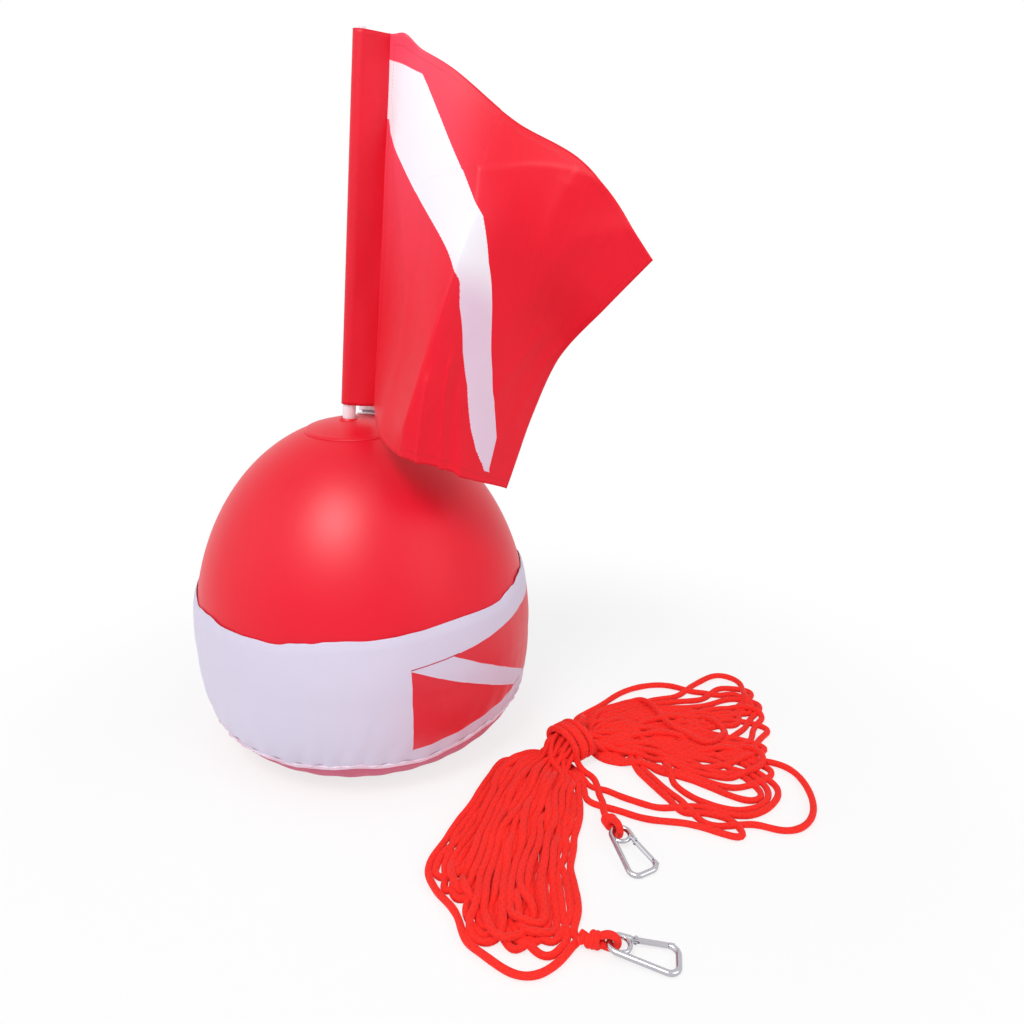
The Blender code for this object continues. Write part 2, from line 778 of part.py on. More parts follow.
def build_valve(white, rubber):
    """The valve's welded seat with its neck, the seal ring round the neck and the screw cap."""
    frame = valve_frame()
    sag = 0.85 * flange_sag()
    low = GAP + PATCH_WALL + GAP
    high = low + VALVE_FLANGE_WALL
    neck = VALVE_NECK_RADIUS
    bore = neck - VALVE_NECK_WALL
    rim = VALVE_FLANGE_RADIUS
    seat_outline = [
        (bore, -VALVE_NECK_DEPTH),
        (neck, -VALVE_NECK_DEPTH),
        (neck, low),
        (0.6 * (neck + rim), low - 0.35 * sag),
        (rim, low - sag),
        (rim, high - sag - 0.3 * VALVE_FLANGE_WALL),
        (0.6 * (neck + rim), high - 0.35 * sag),
        (neck, high),
        (neck, high + VALVE_NECK_HEIGHT),
        (bore, high + VALVE_NECK_HEIGHT),
    ]
    seat = mesh_object("valve_seat", turned(seat_outline, VALVE_STEPS), (white,))
    seal_middle = neck + GAP + VALVE_SEAL_RADIUS
    seal_height = high + GAP + VALVE_SEAL_RADIUS
    seal_outline = []
    for angle in np.linspace(0.0, math.tau, VALVE_SEAL_SIDES, endpoint=False):
        across = VALVE_SEAL_RADIUS * math.cos(angle)
        rise = VALVE_SEAL_RADIUS * math.sin(angle)
        seal_outline.append((seal_middle + across, seal_height + rise))
    seal = mesh_object("valve_seal", turned(seal_outline, VALVE_STEPS), (rubber,))
    skirt = seal_height + VALVE_SEAL_RADIUS + GAP
    roof = high + VALVE_NECK_HEIGHT + GAP
    top = roof + VALVE_CAP_WALL
    inner = neck + JOINT_FIT
    plug = bore - JOINT_FIT
    cap_outline = [
        (0.0, roof - 0.5 * VALVE_NECK_HEIGHT),
        (plug, roof - 0.5 * VALVE_NECK_HEIGHT),
        (plug, roof),
        (inner, roof),
        (inner, skirt),
        (VALVE_CAP_RADIUS, skirt),
        (VALVE_CAP_RADIUS, top - VALVE_CAP_EDGE),
        (VALVE_CAP_RADIUS - VALVE_CAP_EDGE, top),
        (0.0, top),
    ]
    bm = turned(cap_outline, 3 * VALVE_CAP_RIBS)
    for vertex in bm.verts:
        radius = math.hypot(vertex.co.x, vertex.co.y)
        if radius > VALVE_CAP_RADIUS - 0.5 * VALVE_CAP_EDGE:
            angle = math.atan2(vertex.co.y, vertex.co.x)
            scale = 1.0 - VALVE_CAP_RIB_DEPTH * (0.5 + 0.5 * math.cos(VALVE_CAP_RIBS * angle)) / radius
            vertex.co.x *= scale
            vertex.co.y *= scale
    cap = mesh_object("valve_cap", bm, (white,))
    for piece in (seat, seal, cap):
        piece.matrix_world = frame
    return seat, seal, cap


def tow_frame():
    """The axis of the tow ring's bar at the back of the hem, with local Y outwards."""
    radius, height = ball_point(TOW_BAR_HEIGHT, TOW_STAND_OFF)
    return Matrix.Translation((0.0, radius, height))


def build_tow_ring(steel):
    """The D-shaped ring that the line's clip goes on."""
    half = 0.5 * (TOW_RING_INNER + TOW_RING_ROD)
    drop = TOW_RING_DROP - TOW_RING_ROD
    fillet = 0.9 * TOW_RING_ROD
    path = []
    for angle in np.radians((0.0, 30.0, 60.0, 90.0)):
        path.append((half - fillet + fillet * math.sin(angle), 0.0, -fillet + fillet * math.cos(angle)))
    for angle in np.linspace(0.0, math.pi, 13):
        path.append((half * math.cos(angle), 0.0, -fillet - (drop - fillet) * math.sin(angle) ** 0.85))
    for angle in np.radians((90.0, 60.0, 30.0, 0.0)):
        path.append((-half + fillet - fillet * math.sin(angle), 0.0, -fillet + fillet * math.cos(angle)))
    points = [Vector(point) for point in path]
    kept = [points[0]]
    for point in points[1:]:
        if (point - kept[-1]).length > 0.1 * TOW_RING_ROD:
            kept.append(point)
    rings = []
    count = len(kept)
    side_view = Vector((0.0, 1.0, 0.0))
    for index, point in enumerate(kept):
        ahead = (kept[(index + 1) % count] - kept[index - 1]).normalized()
        beside = ahead.cross(side_view)
        rings.append(
            [
                point + (side_view * math.cos(angle) + beside * math.sin(angle)) * 0.5 * TOW_RING_ROD
                for angle in np.linspace(0.0, math.tau, 6, endpoint=False)
            ]
        )
    ring = mesh_object("tow_ring", lofted(rings, closed=True), (steel,))
    ring.matrix_world = tow_frame()
    return ring


def build_tow_tab(webbing):
    """The webbing that is sewn to the band and folded round the tow ring's bar."""
    frame = tow_frame()
    inner = 0.5 * TOW_RING_ROD + JOINT_FIT
    outer = inner + TOW_TAB_WALL
    inside = []
    outside = []
    for angle in np.radians(np.linspace(-150.0, 60.0, 9)):
        outside.append((outer * math.cos(angle), outer * math.sin(angle)))
        inside.append((inner * math.cos(angle), inner * math.sin(angle)))
    world = frame.translation
    rises = [outer * 1.3 + (TOW_TAB_LENGTH - outer * 1.3) * share for share in (0.0, 0.3, 0.65, 1.0)]

    def wall_side(rise, out):
        radius, height = ball_point(TOW_BAR_HEIGHT + rise, CLOTH_GAP + out)
        return (radius - world.y, height - world.z)

    back_face = [wall_side(rise, 0.0) for rise in rises]
    back_front = [wall_side(rise, TOW_TAB_WALL) for rise in rises]
    front_back = [wall_side(rise, TOW_TAB_WALL + GAP) for rise in rises]
    front_face = [wall_side(rise, 2.0 * TOW_TAB_WALL + GAP) for rise in rises]
    outline = list(reversed(back_face)) + outside + front_face
    outline += list(reversed(front_back)) + list(reversed(inside)) + back_front
    rings = []
    for x in (-0.5 * TOW_TAB_WIDTH, 0.5 * TOW_TAB_WIDTH):
        rings.append([(x, y, z) for y, z in outline])
    tab = mesh_object("tow_tab", lofted(rings), (webbing,), smooth=False)
    tab.matrix_world = frame
    return tab


def curve_object(name, points, material, resolution):
    """A round cord through points, with flat ends."""
    curve = bpy.data.curves.new(name, "CURVE")
    curve.dimensions = "3D"
    curve.bevel_depth = 0.5 * ROPE_DIAMETER
    curve.bevel_resolution = resolution
    curve.use_fill_caps = True
    spline = curve.splines.new("POLY")
    spline.points.add(len(points) - 1)
    for slot, point in zip(spline.points, points):
        slot.co = (*point, 1.0)
    spline.use_smooth = True
    return link(name, curve, material)


def past_tie(along):
    """Distance beyond the tie, which holds the runs straight, at a distance along the hank."""
    half_tie = 0.5 * TIE_TURNS * (ROPE_DIAMETER + ROPE_GAP) + 0.5 * ROPE_DIAMETER
    return math.copysign(max(abs(along) - half_tie, 0.0), along)


def hank_heading(along):
    """Heading of the hank's bent middle line, at a distance along it from the tie."""
    middle = 0.5 * (LEFT_HEADING + RIGHT_HEADING)
    half_turn = 0.5 * (RIGHT_HEADING - LEFT_HEADING)
    return middle + half_turn * math.tanh(past_tie(along) / BEND_LENGTH)


def hank_frame(along):
    """Point and heading of the hank's bent middle line, at a distance along it from the tie."""
    place = np.array(HANK_CENTRE, dtype=float)
    for index in range(PROBES):
        heading = hank_heading(along * (index + 0.5) / PROBES)
        place = place + np.array((math.cos(heading), math.sin(heading))) * along / PROBES
    return place, hank_heading(along)


def waist_blend(along):
    """0 at the tie, 1 well out in a lobe."""
    return 1.0 - math.exp(-((past_tie(along) / WAIST_LENGTH) ** 2))


def hank_spread(turn):
    """Steps out from the innermost loop, and the layer, at a turn. Each climb is centred on a run."""
    per_layer = HANK_LOOPS // HANK_LAYERS
    first = per_layer + 0.25
    phase = (turn - first) / per_layer
    out = per_layer * (-phase if phase < 0.0 else abs((phase + 1.0) % 2.0 - 1.0))
    layer = 0.0
    for climb in range(HANK_LAYERS - 1):
        start = first + per_layer * climb - 0.25
        layer += min(max((turn - start) / 0.5, 0.0), 1.0)
    return out, layer


def waist_side(out):
    """Distance of a run from the middle of the tied waist, steps out from the innermost loop."""
    return WAIST_INNER + WAIST_STEP * out


def hank_station(turn, share=None, angle=None):
    """A point of the hank at a turn: at a share of a run, or at an angle from the tip of a rounded end."""
    phase = turn % 1.0
    left = phase < 0.25 or phase >= 0.75
    far = phase < 0.5
    out, layer = hank_spread(turn)
    lobe = LEFT_LOBE_SHARE if left else RIGHT_LOBE_SHARE
    reach = (LEFT_REACH if left else RIGHT_REACH) - REACH_STEP * (HANK_LOOPS / HANK_LAYERS - out)
    half = INNER_HALF_WIDTH + LOOP_STEP * out
    cap = half * lobe
    if angle is not None:
        along = reach - cap + cap * math.cos(angle)
        fullness = math.sin(angle)
    else:
        along = share * (reach - cap)
        fullness = 1.0
    blend = waist_blend(along)
    waist = waist_side(out)
    side = (waist + (half * lobe - waist) * blend) * fullness
    signed_along = -along if left else along
    signed_side = side if far else -side
    place, heading = hank_frame(signed_along)
    normal = np.array((-math.sin(heading), math.cos(heading)))
    x, y = place + normal * signed_side
    lift = WAIST_LIFT / (1.0 + (along / LIFT_LENGTH) ** 4)
    z = 0.5 * ROPE_DIAMETER + lift + layer * (ROPE_DIAMETER + ROPE_GAP)
    return Vector((x, y, z))


def hank_points():
    """Every point of the hank's one tube, from its free end by the left lobe to its end at the tie."""
    quarter = [("angle", angle) for angle in CAP_ANGLES] + [("share", share) for share in RUN_SHARES]
    stations = quarter + list(reversed(quarter)) + quarter + list(reversed(quarter))
    first = 1
    last = HANK_LOOPS * LOOP_POINTS - 7
    points = []
    for index in range(first, last + 1):
        kind, value = stations[index % LOOP_POINTS]
        turn = (index + 0.5) / LOOP_POINTS
        points.append(hank_station(turn, **{kind: value}))
    lead = (points[1] - points[0]).normalized()
    points.insert(0, points[0] - lead * ROPE_DIAMETER)
    centre, heading = hank_frame(0.0)
    axis = Vector((math.cos(heading), math.sin(heading), 0.0))
    reach = (points[-1] - Vector((*centre, 0.0))).dot(axis)
    pitch = ROPE_DIAMETER + ROPE_GAP
    tie_edge = (0.5 * TIE_TURNS - TIE_COVER) * pitch + 0.5 * ROPE_DIAMETER
    points.append(points[-1] - axis * (reach - tie_edge - ROPE_GAP))
    return points


def tie_points():
    """The tie: turns round the hank's waist, from under it to where the line leaves it on the floor."""
    centre, heading = hank_frame(0.0)
    axis = Vector((math.cos(heading), math.sin(heading), 0.0))
    normal = Vector((-math.sin(heading), math.cos(heading), 0.0))
    pitch = ROPE_DIAMETER + ROPE_GAP
    low = 0.5 * ROPE_DIAMETER + WAIST_LIFT
    high = low + (HANK_LAYERS - 1) * pitch
    near = -waist_side(HANK_LOOPS / HANK_LAYERS - 0.5)
    far = waist_side(HANK_LOOPS / HANK_LAYERS)
    corner = pitch + ROPE_GAP
    loop = []
    for side, level, first in ((near, low, 270.0), (near, high, 180.0), (far, high, 90.0), (far, low, 0.0)):
        for angle in np.radians(np.linspace(first, first - 90.0, 4)):
            loop.append((side + corner * math.cos(angle), level + corner * math.sin(angle)))
    count = len(loop)
    places = [(-0.5 * TIE_TURNS * pitch - pitch / count, *loop[-1])]
    for index in range(TIE_TURNS * count):
        places.append(((index / count - 0.5 * TIE_TURNS) * pitch, *loop[index % count]))
    slide = (0.5 * TIE_TURNS + TIE_LEAVE) * pitch
    places.append((slide, near, low - corner))
    places.append((slide, near - corner - ROPE_DIAMETER, low - corner))
    base = Vector((*centre, 0.0))
    up = Vector((0.0, 0.0, 1.0))
    return [base + axis * slide + normal * side + up * level for slide, side, level in places]


def report_gap(points):
    """Least gap between parts of one tube, measured on points set along it."""
    dense = []
    for a, b in zip(points, points[1:]):
        count = max(1, int((b - a).length / (0.4 * ROPE_DIAMETER)))
        for step in range(count):
            dense.append(a.lerp(b, step / count))
    cloud = np.array([tuple(point) for point in dense])
    steps = np.linalg.norm(np.diff(cloud, axis=0), axis=1)
    lengths = np.concatenate(([0.0], np.cumsum(steps)))
    least = math.inf
    for index in range(len(cloud)):
        apart = np.linalg.norm(cloud - cloud[index], axis=1)
        far = np.abs(lengths - lengths[index]) > 3.0 * ROPE_DIAMETER
        if far.any():
            least = min(least, float(apart[far].min()))
    return least - ROPE_DIAMETER, float(lengths[-1])


def loop_radius():
    """Radius of the line's middle where it goes round the end of a clip."""
    return 0.5 * CLIP_ROD + EYE_FIT + 0.5 * ROPE_DIAMETER


def bar_height():
    """Height of the clip's end bar, which the line passes under."""
    return 0.5 * ROPE_DIAMETER + 0.5 * GAP + loop_radius()


def knot_height():
    """Height of the middle of a knot that lies on the floor."""
    return KNOT_RING + 0.5 * ROPE_DIAMETER + 0.5 * GAP


def knot_frame(place, heading):
    """A knot's place on the floor, with local X towards its clip."""
    return Matrix.Translation((*place, 0.0)) @ Matrix.Rotation(heading, 4, "Z")


def ring_rod(centre, major, minor, tilt, steps, sides):
    """A closed ring of line round the X axis, leaning by a tilt."""
    rings = []
    for step in range(steps):
        angle = math.tau * step / steps
        lean = math.cos(angle)
        outward = Vector((math.sin(tilt) * lean, math.sin(angle), math.cos(tilt) * lean))
        along = Vector((math.cos(tilt), 0.0, -math.sin(tilt)))
        middle = Vector(centre) + outward * major
        ring = []
        for side in range(sides):
            turn = math.tau * side / sides
            ring.append(middle + (outward * math.cos(turn) + along * math.sin(turn)) * minor)
        rings.append(ring)
    return lofted(rings, closed=True)


def build_knot(name, place, heading, stubs, red):
    """A knot of three turns over the line's eye, with the eye round the clip's end bar."""
    frame = knot_frame(place, heading)
    middle = knot_height()
    bar = bar_height()
    bend = loop_radius()
    half_line = 0.5 * ROPE_DIAMETER
    root = EYE_ROOT_SHARE * KNOT_STEP
    core = rod([(-KNOT_STEP, 0.0, middle), (KNOT_STEP, 0.0, middle)], half_line, KNOT_SIDES)
    knot = mesh_object(name, core, (red,))
    knot.matrix_world = frame
    path = [(root, 0.0, middle + EYE_TOP_SHARE * half_line)]
    for angle in np.linspace(EYE_SWEEP, -EYE_SWEEP, EYE_STEPS):
        path.append((KNOT_TO_BAR + bend * math.cos(angle), 0.0, bar + bend * math.sin(angle)))
    path.append((root, 0.0, middle - EYE_FOOT_SHARE * half_line))
    eye = rod(path, half_line, KNOT_SIDES)
    combine(knot, cutter("add_" + name + "_eye", eye, frame), "UNION")
    for index, yaw in enumerate(stubs):
        tip = (-KNOT_STUB * math.cos(yaw), -KNOT_STUB * math.sin(yaw), middle)
        stub = rod([(0.0, 0.0, middle), tip], half_line, KNOT_SIDES)
        combine(knot, cutter("add_%s_stub_%d" % (name, index + 1), stub, frame), "UNION")
    for index in (-1, 0, 1):
        centre = (index * KNOT_STEP, 0.0, middle)
        turn = ring_rod(centre, KNOT_RING, half_line, KNOT_TILT, KNOT_TURN_STEPS, KNOT_TURN_SIDES)
        combine(knot, cutter("add_" + name + "_turn_%d" % (index + 2), turn, frame), "UNION")
    return knot


def smooth_route(places, spacing):
    """Evenly spread points on a smooth curve through a route's own places."""
    points = [Vector(place) for place in places]
    dense = []
    for index in range(len(points) - 1):
        before = points[index - 1] if index > 0 else points[0] * 2.0 - points[1]
        start, end = points[index], points[index + 1]
        after = points[index + 2] if index + 2 < len(points) else points[-1] * 2.0 - points[-2]
        for step in range(ROUTE_PROBES):
            t = step / ROUTE_PROBES
            bend = (start * 2.0) + (end - before) * t
            bend += (before * 2.0 - start * 5.0 + end * 4.0 - after) * t * t
            bend += (start * 3.0 - before - end * 3.0 + after) * t * t * t
            dense.append(bend * 0.5)
    dense.append(points[-1])
    lengths = [0.0]
    for a, b in zip(dense, dense[1:]):
        lengths.append(lengths[-1] + (b - a).length)
    count = max(3, round(lengths[-1] / spacing))
    route = []
    for step in range(count + 1):
        at = lengths[-1] * step / count
        index = min(int(np.searchsorted(lengths, at, side="right")) - 1, len(dense) - 2)
        part = (at - lengths[index]) / (lengths[index + 1] - lengths[index])
        route.append(dense[index].lerp(dense[index + 1], part))
    return route


def knot_tail(place, heading, yaw):
    """Where a line ends behind a knot's stub, and its direction there, away from the knot."""
    way = Vector((-math.cos(heading + yaw), -math.sin(heading + yaw), 0.0))
    return Vector((*place, knot_height())) + way * (KNOT_STUB + GAP), way


def free_line(name, start, start_way, places, end, end_way, red):
    """A free stretch of the line. Both ends run straight for one diameter, square to what they meet."""
    inner = [start + start_way * ROPE_DIAMETER] + places + [end - end_way * ROPE_DIAMETER]
    route = [start] + smooth_route(inner, ROUTE_SPACING) + [end]
    return curve_object(name, route, red, 2)


def tail_points(level):
    """The strand beside the hank's inner edge, from the tie towards the second knot."""
    half_tie = 0.5 * TIE_TURNS * (ROPE_DIAMETER + ROPE_GAP) + 0.5 * ROPE_DIAMETER + GAP
    waist = waist_side(TAIL_STEPS_OUT)
    full = (INNER_HALF_WIDTH + LOOP_STEP * TAIL_STEPS_OUT) * LEFT_LOBE_SHARE
    points = []
    for along in np.linspace(half_tie, TAIL_REACH, TAIL_POINTS):
        side = waist + (full - waist) * waist_blend(along)
        place, heading = hank_frame(-along)
        x = place[0] + math.sin(heading) * side
        y = place[1] - math.cos(heading) * side
        points.append(Vector((x, y, level)))
    return points


def build_line(red):
    """The hank, its tie, its free stretches and their knots."""
    floor = 0.5 * ROPE_DIAMETER + GAP
    hank = hank_points()
    tie = tie_points()
    curve_object("line_hank", hank, red, 1)
    curve_object("line_tie", tie, red, 1)
    build_knot("knot_a", KNOT_A, KNOT_A_HEADING, (0.0,), red)
    build_knot("knot_b", KNOT_B, KNOT_B_HEADING, (STUB_SPREAD, -STUB_SPREAD), red)
    way_out = (tie[-1] - tie[-2]).normalized()
    places = [Vector((x, y, floor)) for x, y in END_A_ROUTE]
    end, way = knot_tail(KNOT_A, KNOT_A_HEADING, 0.0)
    free_line("line_end_a", tie[-1] + way_out * GAP, way_out, places, end, -way, red)
    way_in = (hank[1] - hank[0]).normalized()
    places = [Vector((x, y, floor)) for x, y in END_B_ROUTE]
    end, way = knot_tail(KNOT_B, KNOT_B_HEADING, STUB_SPREAD)
    free_line("line_end_b", hank[0] - way_in * GAP, -way_in, places, end, -way, red)
    inner_edge = tail_points(floor)
    start_way = (inner_edge[1] - inner_edge[0]).normalized()
    places = inner_edge[1:] + [Vector((x, y, floor)) for x, y in TAIL_ROUTE]
    end, way = knot_tail(KNOT_B, KNOT_B_HEADING, -STUB_SPREAD)
    free_line("line_tail_b", inner_edge[0], start_way, places, end, -way, red)
    gap, length = report_gap(hank)
    tie_gap, tie_length = report_gap(tie)
    print("hank: least gap to itself %.2f mm, length %.2f m" % (gap * 1000.0, length))
    print("tie: least gap to itself %.2f mm, length %.2f m" % (tie_gap * 1000.0, tie_length))


def clip_tilt():
    """How much a clip leans, from its raised eye to its far end on the floor."""
    span = CLIP_LENGTH - CLIP_ROD
    return math.asin((bar_height() - 0.5 * CLIP_ROD - 0.5 * GAP) / span)


def clip_frame(place, heading):
    """The middle of a clip's eye, with local X towards its far end and local Y towards its gate."""
    tilt = clip_tilt()
    reach = KNOT_TO_BAR + CLIP_EYE_RADIUS * math.cos(tilt)
    height = bar_height() - CLIP_EYE_RADIUS * math.sin(tilt)
    middle = knot_frame(place, heading) @ Vector((reach, 0.0, height))
    return Matrix.Translation(middle) @ Matrix.Rotation(heading, 4, "Z") @ Matrix.Rotation(tilt, 4, "Y")


def filleted(corners, radii, steps):
    """A path through corners in a plane, each rounded by its radius."""
    path = [Vector(corners[0])]
    for before, corner, after, radius in zip(corners, corners[1:], corners[2:], radii):
        corner = Vector(corner)
        back = (Vector(before) - corner).normalized()
        ahead = (Vector(after) - corner).normalized()
        half = 0.5 * back.angle(ahead)
        setback = radius / math.tan(half)
        centre = corner + (back + ahead).normalized() * radius / math.sin(half)
        start = corner + back * setback - centre
        end = corner + ahead * setback - centre
        swing = start.angle(end)
        turn = 1.0 if start.cross(end).z > 0.0 else -1.0
        for step in range(steps + 1):
            spin = Matrix.Rotation(turn * swing * step / steps, 3, "Z")
            path.append(centre + spin @ start)
    path.append(Vector(corners[-1]))
    return path


def clip_corners():
    """The corners of the clip's bent rod, from the gate's shoulder round the eye to the nose."""
    far = CLIP_LENGTH - CLIP_ROD - CLIP_EYE_RADIUS
    eye = CLIP_EYE_RADIUS
    shoulder = (CLIP_SHOULDER, CLIP_SHOULDER_SHARE * eye, 0.0)
    nose = (far - CLIP_NOSE_BACK, CLIP_NOSE_SIDE, 0.0)
    return (
        shoulder,
        (-eye, eye, 0.0),
        (-eye, -eye, 0.0),
        (far, -CLIP_FAR_HALF_WIDTH, 0.0),
        (far - CLIP_FAR_LEAN, CLIP_FAR_HALF_WIDTH, 0.0),
        nose,
    )


def gate_pivot():
    """The gate's pivot in the clip's frame, and the gate's direction and length from there to the nose."""
    corners = clip_corners()
    pivot = Vector(corners[0]) + Vector((TONGUE_PIVOT_SHARE * TONGUE_REACH, 0.0, 0.0))
    nose = Vector(corners[-1])
    span = nose - pivot
    return pivot, math.atan2(span.y, span.x), span.length


def build_clip_frame(name, frame, steel):
    """The clip's bent rod, the bridge that closes its eye, the pivot's tongue and the slotted nose."""
    corners = clip_corners()
    radii = (CLIP_EYE_RADIUS * 0.999, CLIP_EYE_RADIUS * 0.999, CLIP_FAR_FILLET, CLIP_FAR_FILLET)
    path = filleted(corners, radii, CLIP_FILLET_STEPS)
    clip = mesh_object(name, rod(path, 0.5 * CLIP_ROD, CLIP_SIDES), (steel,))
    clip.matrix_world = frame
    bridge_path = []
    for angle in np.linspace(-BRIDGE_SWEEP, BRIDGE_SWEEP, BRIDGE_SIDES + 1):
        bridge_path.append((CLIP_EYE_RADIUS * math.cos(angle), CLIP_EYE_RADIUS * math.sin(angle), 0.0))
    bridge = rod(bridge_path, 0.5 * CLIP_BRIDGE_ROD, BRIDGE_SIDES)
    combine(clip, cutter("add_" + name + "_bridge", bridge, frame), "UNION")
    pivot, _, _ = gate_pivot()
    round_end = TONGUE_REACH * (1.0 - TONGUE_PIVOT_SHARE)
    neck = TONGUE_NECK_SHARE * round_end
    outline = [(corners[0][0] - CLIP_ROD, -neck), (pivot.x, -round_end)]
    for angle in np.radians(np.linspace(-60.0, 60.0, 5)):
        outline.append((pivot.x + round_end * math.cos(angle), round_end * math.sin(angle)))
    outline += [(pivot.x, round_end), (corners[0][0] - CLIP_ROD, neck)]
    rings = [[(x, pivot.y + y, z) for x, y in outline] for z in (-0.5 * TONGUE_WALL, 0.5 * TONGUE_WALL)]
    combine(clip, cutter("add_" + name + "_tongue", lofted(rings), frame), "UNION")
    hole_radius = RIVET_RADIUS + JOINT_FIT
    hole = turned([(0.0, -OVERRUN), (hole_radius, -OVERRUN), (hole_radius, OVERRUN), (0.0, OVERRUN)], HOLE_STEPS)
    combine(clip, cutter("cut_" + name + "_rivet", hole, frame @ Matrix.Translation(pivot)), "DIFFERENCE")
    nose = Vector(corners[-1])
    slot_length = 2.0 * (GATE_TIP_LENGTH + 3.0 * JOINT_FIT)
    slot_size = (slot_length, 2.0 * CLIP_ROD, GATE_TIP_WALL + 2.0 * JOINT_FIT)
    combine(clip, cutter("cut_" + name + "_slot", block(slot_size, nose), frame), "DIFFERENCE")
    return clip


def build_rivet(name, frame, steel):
    """The gate's rivet, headed over the gate's two cheeks."""
    pivot, _, _ = gate_pivot()
    shank = GATE_RADIUS + 1.2 * JOINT_FIT
    head = shank + RIVET_HEAD_HEIGHT
    outline = [
        (0.0, -head),
        (RIVET_HEAD_RADIUS, -head),
        (RIVET_HEAD_RADIUS, -shank),
        (RIVET_RADIUS, -shank),
        (RIVET_RADIUS, shank),
        (RIVET_HEAD_RADIUS, shank),
        (RIVET_HEAD_RADIUS, head),
        (0.0, head),
    ]
    rivet = mesh_object(name, turned(outline, RIVET_STEPS), (steel,))
    rivet.matrix_world = frame @ Matrix.Translation(pivot)
    return rivet


def build_gate(name, frame, steel):
    """The gate: a round bar, forked over the tongue and thinned to a tip that closes into the nose."""
    pivot, heading, length = gate_pivot()
    gate_frame = frame @ Matrix.Translation(pivot) @ Matrix.Rotation(heading, 4, "Z")
    back = GATE_BACK_SHARE * GATE_RADIUS
    tip = length + GATE_TIP_LENGTH
    gate = mesh_object(name, rod([(-back, 0.0, 0.0), (tip, 0.0, 0.0)], GATE_RADIUS, GATE_SIDES), (steel,))
    gate.matrix_world = gate_frame
    round_end = TONGUE_REACH * (1.0 - TONGUE_PIVOT_SHARE)
    fork_length = 2.0 * (round_end + 2.0 * JOINT_FIT)
    fork_size = (fork_length, 3.0 * GATE_RADIUS, TONGUE_WALL + 2.0 * JOINT_FIT)
    fork = block(fork_size, (0.0, 0.0, 0.0))
    combine(gate, cutter("cut_" + name + "_fork", fork, gate_frame), "DIFFERENCE")
    hole_radius = RIVET_RADIUS + JOINT_FIT
    hole = turned([(0.0, -OVERRUN), (hole_radius, -OVERRUN), (hole_radius, OVERRUN), (0.0, OVERRUN)], HOLE_STEPS)
    combine(gate, cutter("cut_" + name + "_hole", hole, gate_frame), "DIFFERENCE")
    flat = GATE_RADIUS - 0.5 * GATE_TIP_WALL
    start = length - 2.0 * JOINT_FIT
    for side in (-1.0, 1.0):
        size = (2.0 * (tip - start), 3.0 * GATE_RADIUS, 2.0 * flat)
        centre = (tip, 0.0, side * (0.5 * GATE_TIP_WALL + flat))
        label = "low" if side < 0.0 else "high"
        combine(gate, cutter("cut_" + name + "_" + label, block(size, centre), gate_frame), "DIFFERENCE")
    return gate


def build_clip(letter, place, heading, steel):
    """One clip with its rivet and its gate."""
    frame = clip_frame(place, heading)
    build_clip_frame("clip_%s_frame" % letter, frame, steel)
    build_rivet("clip_%s_rivet" % letter, frame, steel)
    build_gate("clip_%s_gate" % letter, frame, steel)


def main():
    """Build every piece of the float and its line."""
    clear_scene()
    red_vinyl = finish("red_vinyl", (0.80, 0.035, 0.05), 0.32)
    red_cloth = finish("red_cloth", (0.78, 0.03, 0.05), 0.5)
    white_cloth = finish("white_cloth", (0.84, 0.82, 0.88), 0.6)
    white_plastic = finish("white_plastic", (0.86, 0.85, 0.86), 0.35)
    webbing = finish("white_webbing", (0.80, 0.78, 0.80), 0.8)
    rubber = finish("seal_rubber", (0.05, 0.05, 0.05), 0.7)
    iron = finish("ballast_iron", (0.12, 0.12, 0.13), 0.6, 0.9)
    rope = finish("orange_red_rope", (0.95, 0.09, 0.03), 0.8)
    steel = finish("stainless_steel", (0.72, 0.72, 0.75), 0.2, 1.0)
    build_bladder(red_vinyl)
    build_pole_socket(red_vinyl)
    build_cover_band(white_cloth)
    build_cover_elastic(white_cloth)
    build_cover_hem(white_cloth)
    build_cover_base(red_cloth)
    build_ballast(iron)
    build_pole(white_plastic)
    build_flag_sleeve(red_cloth)
    build_flag_cloth(red_cloth, white_cloth)
    build_valve(white_plastic, rubber)
    build_tow_ring(steel)
    build_tow_tab(webbing)
    build_line(rope)
    build_clip("a", KNOT_A, KNOT_A_HEADING, steel)
    build_clip("b", KNOT_B, KNOT_B_HEADING, steel)
    bpy.context.view_layer.update()


main()
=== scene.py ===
"""Looks of the dive flag float: ball, sewn cover, flag on its leaning pole, and the hanked line.

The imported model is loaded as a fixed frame, and every piece here is made around it. All lengths are
in metres. +Z is up, the flag streams towards +X, and the cover's print faces -Y. A bearing is counted
from the front towards +X.
"""

import json
import logging
import math
from contextlib import contextmanager
from dataclasses import dataclass
from enum import Enum
from typing import Any, Callable, Iterable, Iterator, Mapping, Sequence, Union

import bmesh
import bpy
import numpy as np
from mathutils import Matrix, Vector

